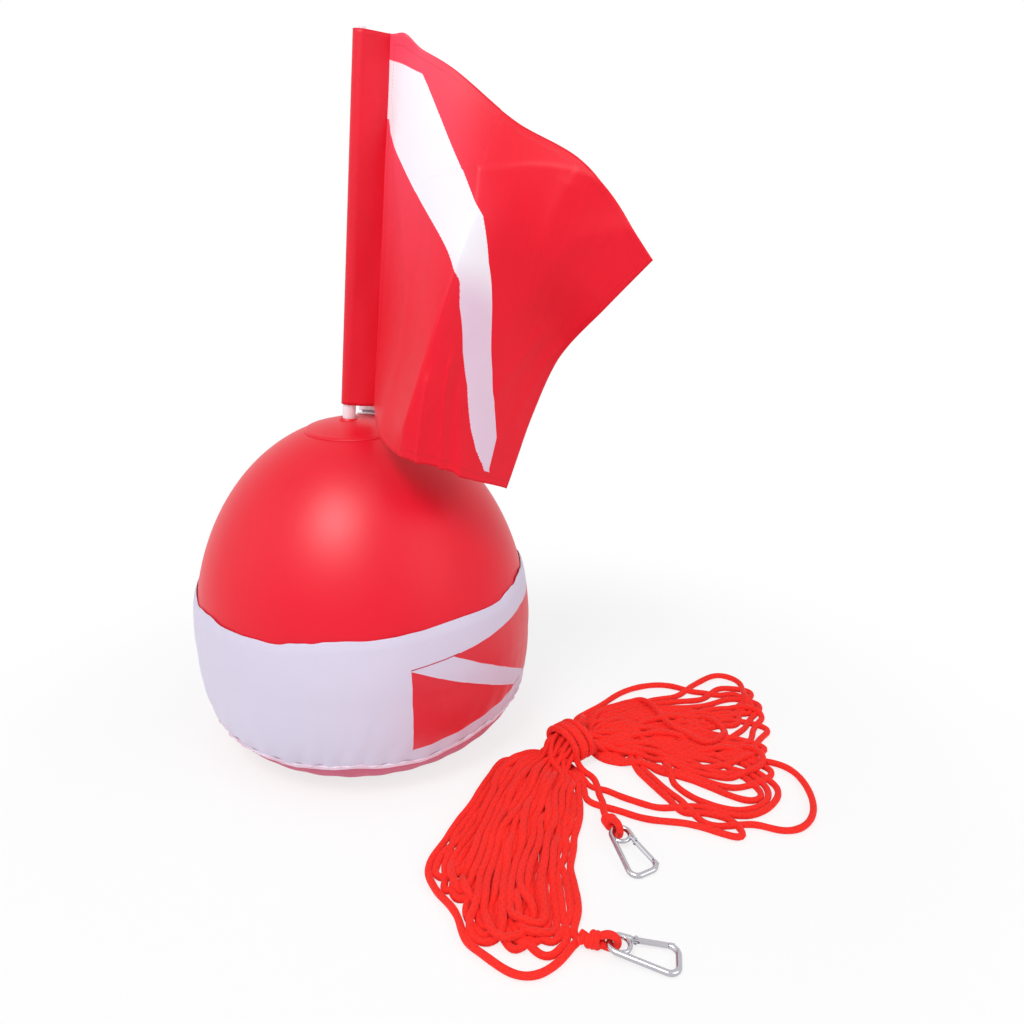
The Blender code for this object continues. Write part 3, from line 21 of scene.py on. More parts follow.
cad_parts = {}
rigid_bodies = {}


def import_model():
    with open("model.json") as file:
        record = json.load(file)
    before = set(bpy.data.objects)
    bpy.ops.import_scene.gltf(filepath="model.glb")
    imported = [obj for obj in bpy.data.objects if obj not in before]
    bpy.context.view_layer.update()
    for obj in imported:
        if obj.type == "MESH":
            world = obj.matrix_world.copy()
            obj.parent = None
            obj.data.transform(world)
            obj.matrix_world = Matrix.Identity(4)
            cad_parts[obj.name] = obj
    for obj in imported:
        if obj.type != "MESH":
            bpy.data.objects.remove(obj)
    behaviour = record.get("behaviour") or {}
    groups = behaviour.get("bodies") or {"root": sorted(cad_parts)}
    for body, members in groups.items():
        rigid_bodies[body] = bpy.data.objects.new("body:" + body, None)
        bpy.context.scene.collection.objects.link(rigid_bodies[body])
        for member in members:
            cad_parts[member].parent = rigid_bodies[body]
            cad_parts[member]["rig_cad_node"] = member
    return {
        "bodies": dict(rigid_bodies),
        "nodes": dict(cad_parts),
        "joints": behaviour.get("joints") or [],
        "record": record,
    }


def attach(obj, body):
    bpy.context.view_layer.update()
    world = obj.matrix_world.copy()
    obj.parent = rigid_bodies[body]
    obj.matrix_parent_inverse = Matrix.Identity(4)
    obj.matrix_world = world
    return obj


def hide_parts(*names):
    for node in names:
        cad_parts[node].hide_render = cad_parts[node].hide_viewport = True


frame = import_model()

LOG = logging.getLogger("float")
Colour = tuple[float, float, float]
Place = tuple[float, float]
Points = np.ndarray
Placer = Callable[[Points], Points]
Spread = tuple[Points, Points, Points]
Face = Callable[[Points, Points], Spread]

GAP = 0.0003
WELD = 0.000002
BALL_RADIUS = 0.174
BALL_HEIGHT = 0.338
WIDEST_HEIGHT = 0.111
FOOT_RADIUS = 0.080
LOWER_POWER = 2.6
UPPER_POWER = 1.6
EGG_SHARE = 0.135
COVER_WALL = 0.0008
SKIN_DEPTH = 0.0017
ROPE = 0.0065


def srgb(red: float, green: float, blue: float) -> Colour:
    """A colour as it is written on screen, from 0 to 255, turned into linear light.

    Args:
        red: Red part.
        green: Green part.
        blue: Blue part.

    Returns:
        The three parts in linear light.
    """
    parts = []
    for part in (red, green, blue):
        share = part / 255.0
        parts.append(share / 12.92 if share <= 0.04045 else ((share + 0.055) / 1.055) ** 2.4)
    return tuple(parts)


# Shaders


def operator(operation: str, swapped: bool = False) -> Callable[["Value", "Number"], "Value"]:
    """A method of Value that adds one Math node for two numbers.

    Args:
        operation: What the node does.
        swapped: Whether the other number comes first, as a reflected operator needs.

    Returns:
        The method.
    """

    def method(self: "Value", other: "Number") -> "Value":
        """Add the node."""
        return self.graph.math(operation, *((other, self) if swapped else (self, other)))

    return method


class Value:
    """A number that changes over a surface. Python's operators on it add the Math nodes."""

    def __init__(self, graph: "Graph", socket: bpy.types.NodeSocket) -> None:
        """Wrap an output socket of a graph."""
        self.graph = graph
        self.socket = socket

    __add__ = operator("ADD")
    __radd__ = operator("ADD", swapped=True)
    __sub__ = operator("SUBTRACT")
    __rsub__ = operator("SUBTRACT", swapped=True)
    __mul__ = operator("MULTIPLY")
    __rmul__ = operator("MULTIPLY", swapped=True)
    least = operator("MINIMUM")
    most = operator("MAXIMUM")

    def __abs__(self) -> "Value":
        """Size without sign."""
        return self.graph.math("ABSOLUTE", self)

    def sine(self, period: float, phase: float = 0.0) -> "Value":
        """A sine wave of this value with a period."""
        return self.graph.math("SINE", self * (math.tau / period) + phase)

    def over(self, low: float, high: float) -> "Value":
        """A soft step that is 0 below low and 1 above high, or the other way round."""
        sockets = {"Value": self, "From Min": low, "From Max": high}
        node = self.graph.node("ShaderNodeMapRange", {"interpolation_type": "SMOOTHSTEP"}, sockets)
        return Value(self.graph, node.outputs[0])

    def edge(self, width: float) -> "Value":
        """A mask that is 1 where this value is above zero, with an edge of a width."""
        return self.graph.math("ADD", self * (1.0 / width), 0.5, clamp=True)


Number = Union[float, Value]
Source = Union[float, Sequence[float], Value, bpy.types.NodeSocket]


class Graph:
    """The node tree of one material."""

    def __init__(self, tree: bpy.types.NodeTree) -> None:
        """Take over a tree with its default shader."""
        self.tree = tree

    def node(
        self,
        kind: str,
        settings: Mapping[str, Any] | None = None,
        sockets: Mapping[Any, Source] | None = None,
    ) -> bpy.types.Node:
        """Add a node.

        Args:
            kind: The node's type.
            settings: Its own settings, set before its sockets.
            sockets: A value or a link for each input, by name or number.

        Returns:
            The new node.
        """
        made = self.tree.nodes.new(kind)
        for name, setting in (settings or {}).items():
            setattr(made, name, setting)
        for key, source in (sockets or {}).items():
            self.feed(made.inputs[key], source)
        return made

    def feed(self, socket: bpy.types.NodeSocket, source: Source) -> None:
        """Set a socket's value, or link it."""
        if isinstance(source, Value):
            self.tree.links.new(source.socket, socket)
        elif isinstance(source, bpy.types.NodeSocket):
            self.tree.links.new(source, socket)
        elif isinstance(source, tuple) and len(source) == 3 and len(socket.default_value) == 4:
            socket.default_value = (*source, 1.0)
        else:
            socket.default_value = source

    def math(self, operation: str, *terms: Number, clamp: bool = False) -> Value:
        """One Math node on numbers or values."""
        settings = {"operation": operation, "use_clamp": clamp}
        made = self.node("ShaderNodeMath", settings, dict(enumerate(terms)))
        return Value(self, made.outputs[0])

    def place(self) -> bpy.types.NodeSocket:
        """The surface point in the object's own metres."""
        return self.node("ShaderNodeTexCoord").outputs["Object"]

    def cut(self) -> bpy.types.NodeSocket:
        """The surface point on the flat cut of the piece, in metres."""
        return self.node("ShaderNodeUVMap", {"uv_map": "cut"}).outputs[0]

    def split(self, vector: bpy.types.NodeSocket) -> tuple[Value, Value, Value]:
        """The three parts of a vector."""
        made = self.node("ShaderNodeSeparateXYZ", {}, {0: vector})
        return tuple(Value(self, socket) for socket in made.outputs)

    def join(self, x: Number, y: Number, z: Number = 0.0) -> bpy.types.NodeSocket:
        """A vector from three parts."""
        return self.node("ShaderNodeCombineXYZ", {}, {0: x, 1: y, 2: z}).outputs[0]

    def noise(self, vector: Source, scale: float, detail: float = 2.0, roughness: float = 0.5) -> Value:
        """Soft noise from 0 to 1, at so many lumps a metre."""
        sockets = {"Vector": vector, "Scale": scale, "Detail": detail, "Roughness": roughness}
        return Value(self, self.node("ShaderNodeTexNoise", {}, sockets).outputs[0])

    def mix(self, factor: Number, first: Source, second: Source) -> bpy.types.NodeSocket:
        """A colour between two colours."""
        made = self.node("ShaderNodeMix", {"data_type": "RGBA"}, {0: factor, 6: first, 7: second})
        return made.outputs[2]

    def tint(self, colour: Source, value: Number) -> bpy.types.NodeSocket:
        """A colour made lighter or darker by a value."""
        grey = self.node("ShaderNodeCombineColor", {}, {0: value, 1: value, 2: value}).outputs[0]
        settings = {"data_type": "RGBA", "blend_type": "MULTIPLY"}
        return self.node("ShaderNodeMix", settings, {0: 1.0, 6: colour, 7: grey}).outputs[2]

    def bump(self, height: Value, distance: float, strength: float = 1.0) -> bpy.types.NodeSocket:
        """A bumped normal from a height of 0 to 1 over a distance in metres."""
        sockets = {"Height": height, "Distance": distance, "Strength": strength}
        return self.node("ShaderNodeBump", {}, sockets).outputs[0]

    def dress(self, sockets: Mapping[str, Source]) -> None:
        """Feed the shader's own sockets."""
        shader = self.tree.nodes["Principled BSDF"]
        for key, source in sockets.items():
            self.feed(shader.inputs[key], source)


@dataclass(frozen=True)
class Finish:
    """A finish of one of the float's materials."""

    name: str
    slot: str
    colour: Colour
    roughness: float

    def material(self) -> bpy.types.Material:
        """Make the material and dress it."""
        made = bpy.data.materials.new(self.name)
        made.use_nodes = True
        self.dress(Graph(made.node_tree))
        return made

    def dress(self, graph: Graph) -> None:
        """Draw the finish in a graph."""
        raise NotImplementedError


@dataclass(frozen=True)
class Vinyl(Finish):
    """Inflated satin vinyl: even colour, fine orange peel, a soft wide shine."""

    def dress(self, graph: Graph) -> None:
        """Draw the finish in a graph."""
        place = graph.place()
        cloud = graph.noise(place, 9.0, 3.0)
        peel = graph.noise(place, 1400.0, 1.0)
        wave = graph.noise(place, 60.0, 2.0)
        graph.dress(
            {
                "Base Color": graph.tint(self.colour, 0.95 + 0.10 * cloud),
                "Roughness": self.roughness + 0.08 * (cloud - 0.5) + 0.05 * (peel - 0.5),
                "Normal": graph.bump(wave + 0.12 * peel, 0.0004, 0.25),
                "Coat Weight": 0.15,
                "Coat Roughness": 0.42,
                "Specular IOR Level": 0.24,
            }
        )


@dataclass(frozen=True)
class WovenCloth(Finish):
    """Plain woven cloth with one colour."""

    thread: float = 0.0007
    sheen: float = 0.10
    shine: float = 0.25

    def weave(self, along: Value, across: Value) -> Value:
        """Height of a plain weave, from 0 to 1."""
        return 0.5 + 0.5 * (along.sine(self.thread) * across.sine(self.thread, 0.5 * math.pi))

    def wear(self, graph: Graph, colour: Source, roughness: Value, normal: Source) -> None:
        """Feed the shader as cloth."""
        graph.dress(
            {
                "Base Color": colour,
                "Roughness": roughness,
                "Normal": normal,
                "Specular IOR Level": self.shine,
                "Sheen Weight": self.sheen,
                "Sheen Roughness": 0.5,
            }
        )

    def dress(self, graph: Graph) -> None:
        """Draw the finish in a graph."""
        place = graph.place()
        along, across, _ = graph.split(graph.cut())
        cloud = graph.noise(place, 14.0, 3.0)
        crease = graph.noise(place, 90.0, 3.0)
        colour = graph.tint(self.colour, 0.92 + 0.16 * cloud)
        normal = graph.bump(self.weave(along, across) * 0.3 + crease, 0.0004, 0.35)
        self.wear(graph, colour, self.roughness + 0.10 * (crease - 0.5), normal)


@dataclass(frozen=True)
class BandCloth(WovenCloth):
    """The cover's white band with the printed dive flag on its right.

    The print's four slanting lines are each a height at its near side, and a rise for each metre round.
    """

    shine: float = 0.5
    print_colour: Colour = srgb(222, 28, 48)
    line_colour: Colour = srgb(178, 22, 50)
    near: float = 0.068
    far: float = 0.272
    top: Place = (0.144, 0.073)
    foot: Place = (0.0555, 0.128)
    stripe_low: Place = (0.1429, -0.50)
    stripe_high: Place = (0.17118, -0.569)
    top_line_end: float = 0.118
    foot_line_start: float = 0.205
    half_line: float = 0.0006
    soft: float = 0.0005

    def dress(self, graph: Graph) -> None:
        """Draw the finish in a graph."""
        place = graph.place()
        around, up, _ = graph.split(graph.cut())
        wobble = (graph.noise(place, 60.0, 2.0) - 0.5) * 0.0012
        across = around + wobble
        height = up + wobble
        slants = (self.top, self.foot, self.stripe_low, self.stripe_high)
        top, foot, low, high = (start + rise * (across - self.near) for start, rise in slants)
        sides = (across - self.near).edge(self.soft) * (self.far - across).edge(self.soft)
        inside = sides * (top - height).edge(self.soft) * (height - foot).edge(self.soft)
        diagonal = (height - low).edge(self.soft) * (high - height).edge(self.soft)
        lines = [(self.half_line - abs(edge - height)).edge(0.0004) * sides for edge in (top, foot)]
        lines[0] = lines[0] * (self.top_line_end - across).edge(self.soft)
        lines[1] = lines[1] * (across - self.foot_line_start).edge(self.soft)
        cloud = graph.noise(place, 11.0, 3.0)
        crease = graph.noise(place, 120.0, 3.0)
        cloth = graph.tint(self.colour, 0.965 + 0.07 * cloud)
        printed = graph.tint(self.print_colour, 0.90 + 0.20 * cloud)
        colour = graph.mix(inside * (1.0 - diagonal), cloth, printed)
        colour = graph.mix(lines[0].most(lines[1]), colour, self.line_colour)
        normal = graph.bump(self.weave(around, up) * 0.2 + crease, 0.0003, 0.30)
        self.wear(graph, colour, self.roughness - 0.08 * inside + 0.08 * (crease - 0.5), normal)


@dataclass(frozen=True)
class FlagCloth(WovenCloth):
    """The flag's cloth: red, with the white stripe from the top of the seam to the low corner."""

    sheen: float = 0.05
    shine: float = 0.20
    stripe_colour: Colour = srgb(244, 240, 247)
    # Painted shade: the darker tint for the stripe's lower part
    stripe_painted_shade: Colour = srgb(228, 196, 218)
    # Painted light: the lighter red for the cloth near the seam's top
    lit_colour: Colour = srgb(254, 92, 120)
    fly: float = 0.400
    hoist: float = 0.331
    stripe_above: float = 0.0235
    stripe_below: float = 0.0680
    stripe_top: float = 0.020
    stripe_foot: float = 0.011
    hem: float = 0.0080

    def dress(self, graph: Graph) -> None:
        """Draw the finish in a graph."""
        place = graph.place()
        out, down, _ = graph.split(graph.cut())
        slant = down - out
        low = self.hoist - self.stripe_foot
        bounds = (slant + self.stripe_above, self.stripe_below - slant, down - self.stripe_top, low - down)
        stripe = math.prod(bound.edge(0.0006) for bound in bounds)
        cloud = graph.noise(place, 12.0, 3.0)
        streaks = graph.noise(graph.join(out * 6.0, down * 0.8), 22.0, 2.0)
        crease = graph.noise(place, 80.0, 3.0)
        # Painted light: near the seam's top the red is mixed towards lit_colour, where the cloth faces the
        # key lamp
        pale = graph.mix(0.6 * out.over(0.20, 0.0) * down.over(0.26, 0.02), self.colour, self.lit_colour)
        red = graph.tint(pale, 0.90 + 0.14 * cloud + 0.08 * streaks)
        # Painted shade: below the crease the stripe is mixed towards its darker tint, where the cloth turns
        # away from the key lamp
        painted_shade_share = down.over(0.46 * self.hoist, 0.60 * self.hoist)
        stripe_colour = graph.mix(0.85 * painted_shade_share, self.stripe_colour, self.stripe_painted_shade)
        white = graph.tint(stripe_colour, 0.97 + 0.05 * cloud)
        rim = out.least(self.fly - out).least(down).least(self.hoist - down)
        stitch = (0.0005 - abs(rim - (self.hem - 0.0005))).edge(0.0004) * (out + down).sine(0.0030).edge(0.8)
        colour = graph.mix(stripe, red, white)
        colour = graph.mix(0.5 * stitch, colour, graph.tint(colour, 0.55))
        height = 0.15 * self.weave(out, down) + 0.5 * crease + 0.9 * (self.hem - rim).edge(0.0010)
        height = height - 0.6 * stitch
        roughness = self.roughness + 0.06 * stripe + 0.08 * (crease - 0.5)
        self.wear(graph, colour, roughness, graph.bump(height, 0.0004, 0.35))


@dataclass(frozen=True)
class Tape(WovenCloth):
    """The sewn binding round the cover: pinkish white, with a line of stitches on each side."""

    shine: float = 0.5
    width: float = 0.0060
    cloud_colour: Colour = srgb(222, 178, 198)
    stitch_colour: Colour = srgb(205, 150, 172)

    def dress(self, graph: Graph) -> None:
        """Draw the finish in a graph."""
        around, across, _ = graph.split(graph.cut())
        cloud = graph.noise(graph.place(), 30.0, 3.0)
        rows = (0.0004 - abs(abs(across) - 0.32 * self.width)).edge(0.0003)
        stitch = rows * around.sine(0.0028).edge(0.8)
        rib = 0.5 + 0.5 * across.sine(0.0009)
        shade = graph.mix(cloud.over(0.35, 0.75), self.colour, self.cloud_colour)
        colour = graph.mix(0.5 * stitch, shade, self.stitch_colour)
        normal = graph.bump(0.4 * rib - stitch, 0.0003, 0.5)
        self.wear(graph, colour, self.roughness + 0.1 * (cloud - 0.5), normal)


@dataclass(frozen=True)
class Grained(Finish):
    """Plastic, rubber or metal: clouds in its colour, and a fine grain in its shine.

    A noise is its lumps a metre, detail and roughness. The colour's tone is its least and its span, the
    shine's span is what the clouds and the grain each add, and the relief is a depth and a strength.
    """

    clouds: tuple[float, float, float]
    grain: tuple[float, float, float]
    tone: Place
    span: Place
    relief: Place
    metal: float = 0.0
    index: float = 1.5

    def dress(self, graph: Graph) -> None:
        """Draw the finish in a graph."""
        place = graph.place()
        clouds = graph.noise(place, *self.clouds)
        grain = graph.noise(place, *self.grain)
        graph.dress(
            {
                "Base Color": graph.tint(self.colour, self.tone[0] + self.tone[1] * clouds),
                "Metallic": self.metal,
                "Roughness": self.roughness + self.span[0] * (clouds - 0.5) + self.span[1] * (grain - 0.5),
                "Normal": graph.bump(grain, *self.relief),
                "IOR": self.index,
            }
        )


@dataclass(frozen=True)
class Webbing(Finish):
    """Ribbed white webbing."""

    rib: float = 0.0016

    def dress(self, graph: Graph) -> None:
        """Draw the finish in a graph."""
        x, _, z = graph.split(graph.place())
        ribs = 0.5 + 0.5 * (x.sine(self.rib) * z.sine(2.0 * self.rib))
        cloud = graph.noise(graph.place(), 60.0, 3.0)
        graph.dress(
            {
                # The ribs also darken the colour in their hollows: painted shade
                "Base Color": graph.tint(self.colour, 0.82 + 0.10 * ribs + 0.10 * cloud),
                "Roughness": self.roughness + 0.1 * (cloud - 0.5),
                "Normal": graph.bump(ribs, 0.0004, 0.6),
                "Sheen Weight": 0.1,
            }
        )


@dataclass(frozen=True)
class Rope(Finish):
    """Soft braided line: crossing strands round it, with painted shade in the hollows between them."""

    lay: float = 0.0085
    strands: int = 4
    hollow_shade_colour: Colour = srgb(196, 20, 24)

    def dress(self, graph: Graph) -> None:
        """Draw the finish in a graph."""
        place = graph.place()
        along, around, _ = graph.split(graph.cut())
        step = along * (math.tau / self.lay)
        turn = around * (math.tau * self.strands)
        braid = graph.math("SINE", step + turn).most(graph.math("SINE", step - turn))
        yarn = graph.math("SINE", step * 5.0 + turn)
        fuzz = graph.noise(place, 1500.0, 2.0, 0.7)
        cloud = graph.noise(place, 35.0, 2.0)
        # Painted shade: the colour darkens towards hollow_shade_colour in the hollows between the strands
        colour = graph.mix(0.22 * braid.over(0.20, -0.45), self.colour, self.hollow_shade_colour)
        graph.dress(
            {
                "Base Color": graph.tint(colour, 0.88 + 0.16 * cloud + 0.08 * fuzz),
                "Roughness": self.roughness + 0.1 * (fuzz - 0.5),
                "Normal": graph.bump(0.6 * braid + 0.1 * yarn + 0.25 * fuzz, 0.0004, 0.28),
                "Specular IOR Level": 0.15,
                "Sheen Weight": 0.12,
                "Sheen Roughness": 0.45,
            }
        )


RED_VINYL = Vinyl("red_vinyl", "red_vinyl", srgb(232, 13, 41), 0.42)
RED_CLOTH = WovenCloth("red_cloth", "red_cloth", srgb(206, 92, 122), 0.60)
FLAG_CLOTH = FlagCloth("flag_cloth", "red_cloth", srgb(232, 14, 40), 0.48)
SLEEVE_CLOTH = WovenCloth("sleeve_cloth", "red_cloth", srgb(228, 16, 44), 0.50)
BAND_CLOTH = BandCloth("band_cloth", "white_cloth", srgb(216, 209, 229), 0.55)
WHITE_TAPE = Tape("white_tape", "white_cloth", srgb(240, 222, 236), 0.65)
WHITE_ELASTIC = WovenCloth("white_elastic", "white_cloth", srgb(228, 224, 232), 0.70, 0.0010)
WHITE_WEBBING = Webbing("white_webbing", "white_webbing", srgb(232, 228, 232), 0.75)
RED_ROPE = Rope("orange_red_rope", "orange_red_rope", srgb(254, 47, 37), 0.80)
WHITE_PLASTIC = Grained(
    "white_plastic", "white_plastic", srgb(250, 247, 252), 0.35,
    (25.0, 3.0, 0.5), (700.0, 2.0, 0.7), (0.95, 0.08), (0.0, 0.15), (0.0001, 0.2), index=1.47,
)
BRIGHT_STEEL = Grained(
    "stainless_steel", "stainless_steel", srgb(190, 188, 194), 0.17,
    (120.0, 3.0, 0.5), (2200.0, 2.0, 0.7), (0.94, 0.08), (0.10, 0.06), (0.00005, 0.15), metal=1.0,
)
SEAL_RUBBER = Grained(
    "seal_rubber", "seal_rubber", srgb(196, 182, 190), 0.60,
    (900.0, 2.0, 0.5), (900.0, 2.0, 0.5), (0.8, 0.4), (0.0, 0.1), (0.0001, 0.3),
)
BALLAST_IRON = Grained(
    "ballast_iron", "ballast_iron", srgb(70, 70, 74), 0.55,
    (260.0, 4.0, 0.6), (260.0, 4.0, 0.6), (0.7, 0.6), (0.0, 0.2), (0.0005, 0.5), metal=0.6,
)


class Paints:
    """The materials, each made once."""

    def __init__(self) -> None:
        """Start with none."""
        self.made: dict[str, bpy.types.Material] = {}

    def give(self, piece: bpy.types.Object, finish: Finish) -> None:
        """Put a finish on a piece."""
        if finish.name not in self.made:
            self.made[finish.name] = finish.material()
        piece.data.materials.clear()
        piece.data.materials.append(self.made[finish.name])
        "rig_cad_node" not in piece

    def fit(self, piece: bpy.types.Object, finish: Finish, body: str, *nodes: str) -> bpy.types.Object:
        """Dress a new piece, hang it on its body, and hide the nodes that it stands for."""
        self.give(piece, finish)
        if nodes:
            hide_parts(*nodes)
        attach(piece, body)
        return piece


PAINTS = Paints()


# Meshes


def link(name: str, data: bpy.types.ID) -> bpy.types.Object:
    """Put a mesh, a camera or a lamp into the scene under a name."""
    piece = bpy.data.objects.new(name, data)
    bpy.context.scene.collection.objects.link(piece)
    return piece


def read_points(mesh: bpy.types.Mesh) -> Points:
    """The mesh's points as rows of three numbers."""
    points = np.empty(3 * len(mesh.vertices))
    mesh.vertices.foreach_get("co", points)
    return points.reshape(-1, 3)


def smooth_shading(mesh: bpy.types.Mesh, sharp: float = 40.0) -> None:
    """Shade a mesh smooth, with edges above an angle in degrees kept sharp."""
    mesh.shade_smooth()
    mesh.set_sharp_from_angle(angle=math.radians(sharp))


def shaped_grid(
    name: str, columns: int, rows: int, place: Placer, cut: Placer, closed: bool = False, capped: bool = False
) -> bpy.types.Object:
    """A grid whose points are put in place by a function of their two shares.

    Args:
        name: The piece's name.
        columns: Steps across.
        rows: Steps up.
        place: Turns shares across and up into points.
        cut: Turns shares across and up into places on the flat cut.
        closed: Whether the grid's sides or ends meet, and are welded.
        capped: Whether the open ends get a face.

    Returns:
        The new piece.
    """
    mesh = bpy.data.meshes.new(name)
    with edited(mesh) as bm:
        bmesh.ops.create_grid(bm, x_segments=columns, y_segments=rows, size=0.5)
    shares = read_points(mesh)[:, :2] + 0.5
    corners = np.empty(len(mesh.loops), int)
    mesh.loops.foreach_get("vertex_index", corners)
    layer = mesh.uv_layers.new(name="cut")
    layer.data.foreach_set("uv", cut(shares)[corners].astype(np.float32).ravel())
    mesh.vertices.foreach_set("co", place(shares).astype(np.float32).ravel())
    if closed:
        with edited(mesh) as bm:
            bmesh.ops.remove_doubles(bm, verts=bm.verts, dist=WELD)
            bmesh.ops.dissolve_degenerate(bm, dist=WELD, edges=bm.edges)
            if capped:
                fill_holes(bm)
    mesh.update()
    smooth_shading(mesh)
    return link(name, mesh)


@contextmanager
def edited(mesh: bpy.types.Mesh) -> Iterator[bmesh.types.BMesh]:
    """A mesh opened as a bmesh, and written back at the end."""
    bm = bmesh.new()
    bm.from_mesh(mesh)
    yield bm
    bm.to_mesh(mesh)
    bm.free()


def fill_holes(bm: bmesh.types.BMesh) -> None:
    """Close every open edge loop, and turn all faces outwards."""
    bmesh.ops.holes_fill(bm, edges=[edge for edge in bm.edges if edge.is_boundary])
    bmesh.ops.recalc_face_normals(bm, faces=bm.faces)


def add_wall(piece: bpy.types.Object, thickness: float, offset: float = -1.0) -> None:
    """Give a sheet its thickness."""
    wall = piece.modifiers.new("wall", "SOLIDIFY")
    wall.thickness = thickness
    wall.offset = offset


def spun(name: str, outline: Sequence[Place], steps: int, where: Matrix) -> bpy.types.Object:
    """A closed outline of (radius, height) pairs spun about Z, put in its place."""
    bm = bmesh.new()
    points = [bm.verts.new((radius, 0.0, height)) for radius, height in outline]
    pairs = zip(points, points[1:] + points[:1])
    edges = [bm.edges.new(pair) for pair in pairs if pair[0].co.x + pair[1].co.x > 0.0]
    settings = {"cent": (0.0, 0.0, 0.0), "axis": (0.0, 0.0, 1.0), "angle": math.tau, "use_merge": True}
    bmesh.ops.spin(bm, geom=points + edges, steps=steps, **settings)
    bmesh.ops.remove_doubles(bm, verts=bm.verts, dist=WELD)
    bmesh.ops.recalc_face_normals(bm, faces=bm.faces)
    return placed(name, bm, where)


def placed(name: str, bm: bmesh.types.BMesh, where: Matrix) -> bpy.types.Object:
    """Turn a bmesh into a piece whose place is in its mesh."""
    bmesh.ops.transform(bm, matrix=where, verts=bm.verts)
    mesh = bpy.data.meshes.new(name)
    bm.to_mesh(mesh)
    bm.free()
    smooth_shading(mesh)
    return link(name, mesh)


def lengths_along(points: Points) -> Points:
    """Length from the start to each point."""
    steps = np.linalg.norm(np.diff(points, axis=0), axis=1)
    return np.concatenate([[0.0], np.cumsum(steps)])


def smooth_path(
    places: Union[Points, Sequence[Sequence[float]]], spacing: float, flat: bool = False
) -> Points:
    """Evenly spread points on a smooth curve through given places.

    Args:
        places: Points that the curve goes through.
        spacing: Distance between the points that are returned.
        flat: Whether distance is counted in plan only.

    Returns:
        The points along the curve.
    """
    given = np.array(places, float)
    count = 2 if flat else 3
    chords = np.linalg.norm(np.diff(given[:, :count], axis=0), axis=1)
    knots = np.concatenate([[0.0], np.cumsum(np.maximum(chords, 0.0005) ** 0.5)])
    slopes = np.gradient(given, knots, axis=0)
    fine = np.linspace(0.0, knots[-1], 24 * len(given))
    at = np.clip(np.searchsorted(knots, fine, side="right") - 1, 0, len(given) - 2)
    span = (knots[at + 1] - knots[at])[:, None]
    t = (fine - knots[at])[:, None] / span
    curve = (
        (2.0 * t**3 - 3.0 * t**2 + 1.0) * given[at]
        + (t**3 - 2.0 * t**2 + t) * span * slopes[at]
        + (3.0 * t**2 - 2.0 * t**3) * given[at + 1]
        + (t**3 - t**2) * span * slopes[at + 1]
    )
    return evenly(curve, spacing, 4, count)


def tube(name: str, path: Points, radius: Union[float, Points], sides: int) -> bpy.types.Object:
    """A round cord or rod along a path, closed at both ends.

    Args:
        name: The piece's name.
        path: Points along its middle.
        radius: One radius, or one for each point.
        sides: How many sides it has.

    Returns:
        The new piece. Its cut runs along the path and once round.
    """
    ahead = np.gradient(path, axis=0)
    ahead /= np.linalg.norm(ahead, axis=1)[:, None]
    first = np.cross(ahead[0], (0.0, 0.0, 1.0))
    if np.linalg.norm(first) < 0.1:
        first = np.cross(ahead[0], (1.0, 0.0, 0.0))
    across = np.empty_like(path)
    current = first / np.linalg.norm(first)
    for index, way in enumerate(ahead):
        current = current - way * current.dot(way)
        current = current / np.linalg.norm(current)
        across[index] = current
    beside = np.cross(ahead, across)
    radii = np.broadcast_to(np.asarray(radius, float), (len(path),))
    along = lengths_along(path)
    last = len(path) - 1

    def place(shares: Points) -> Points:
        """Points of the tube's skin."""
        row = np.clip(np.rint(shares[:, 1] * last).astype(int), 0, last)
        angle = math.tau * shares[:, 0]
        swing = across[row] * np.cos(angle)[:, None] + beside[row] * np.sin(angle)[:, None]
        return path[row] + swing * radii[row][:, None]

    def cut(shares: Points) -> Points:
        """Length along, and share round."""
        row = np.clip(np.rint(shares[:, 1] * last).astype(int), 0, last)
        return np.stack([along[row], shares[:, 0]], axis=1)

    return shaped_grid(name, sides, last, place, cut, closed=True, capped=True)


def evenly(points: Points, spacing: float, least: int = 2, count: int = 3) -> Points:
    """Evenly spread points on a bent line, in least steps or more, by its length in count directions."""
    along = lengths_along(points[:, :count])
    wanted = np.linspace(0.0, along[-1], max(least, round(along[-1] / spacing)) + 1)
    return np.stack([np.interp(wanted, along, points[:, axis]) for axis in range(3)], axis=1)


def rounded(corners: Sequence[Place], radii: Sequence[float], steps: int) -> Points:
    """A path through corners in a plane, each inner one rounded by its radius.

    Args:
        corners: The corners in order.
        radii: A radius for each inner corner.
        steps: Steps round each corner.

    Returns:
        Points of the path, at height 0.
    """
    path = [np.array((*corners[0], 0.0))]
    for before, corner, after, radius in zip(corners, corners[1:], corners[2:], radii):
        here = np.array(corner)
        back = (np.array(before) - here) / np.linalg.norm(np.array(before) - here)
        ahead = (np.array(after) - here) / np.linalg.norm(np.array(after) - here)
        half = 0.5 * math.acos(float(back.dot(ahead)))
        centre = here + (back + ahead) / np.linalg.norm(back + ahead) * radius / math.sin(half)
        start = here + back * radius / math.tan(half) - centre
        end = here + ahead * radius / math.tan(half) - centre
        for share in np.linspace(0.0, 1.0, steps + 1):
            swing = start * (1.0 - share) + end * share
            path.append(np.array((*(centre + swing / np.linalg.norm(swing) * radius), 0.0)))
    path.append(np.array((*corners[-1], 0.0)))
    return np.array(path)


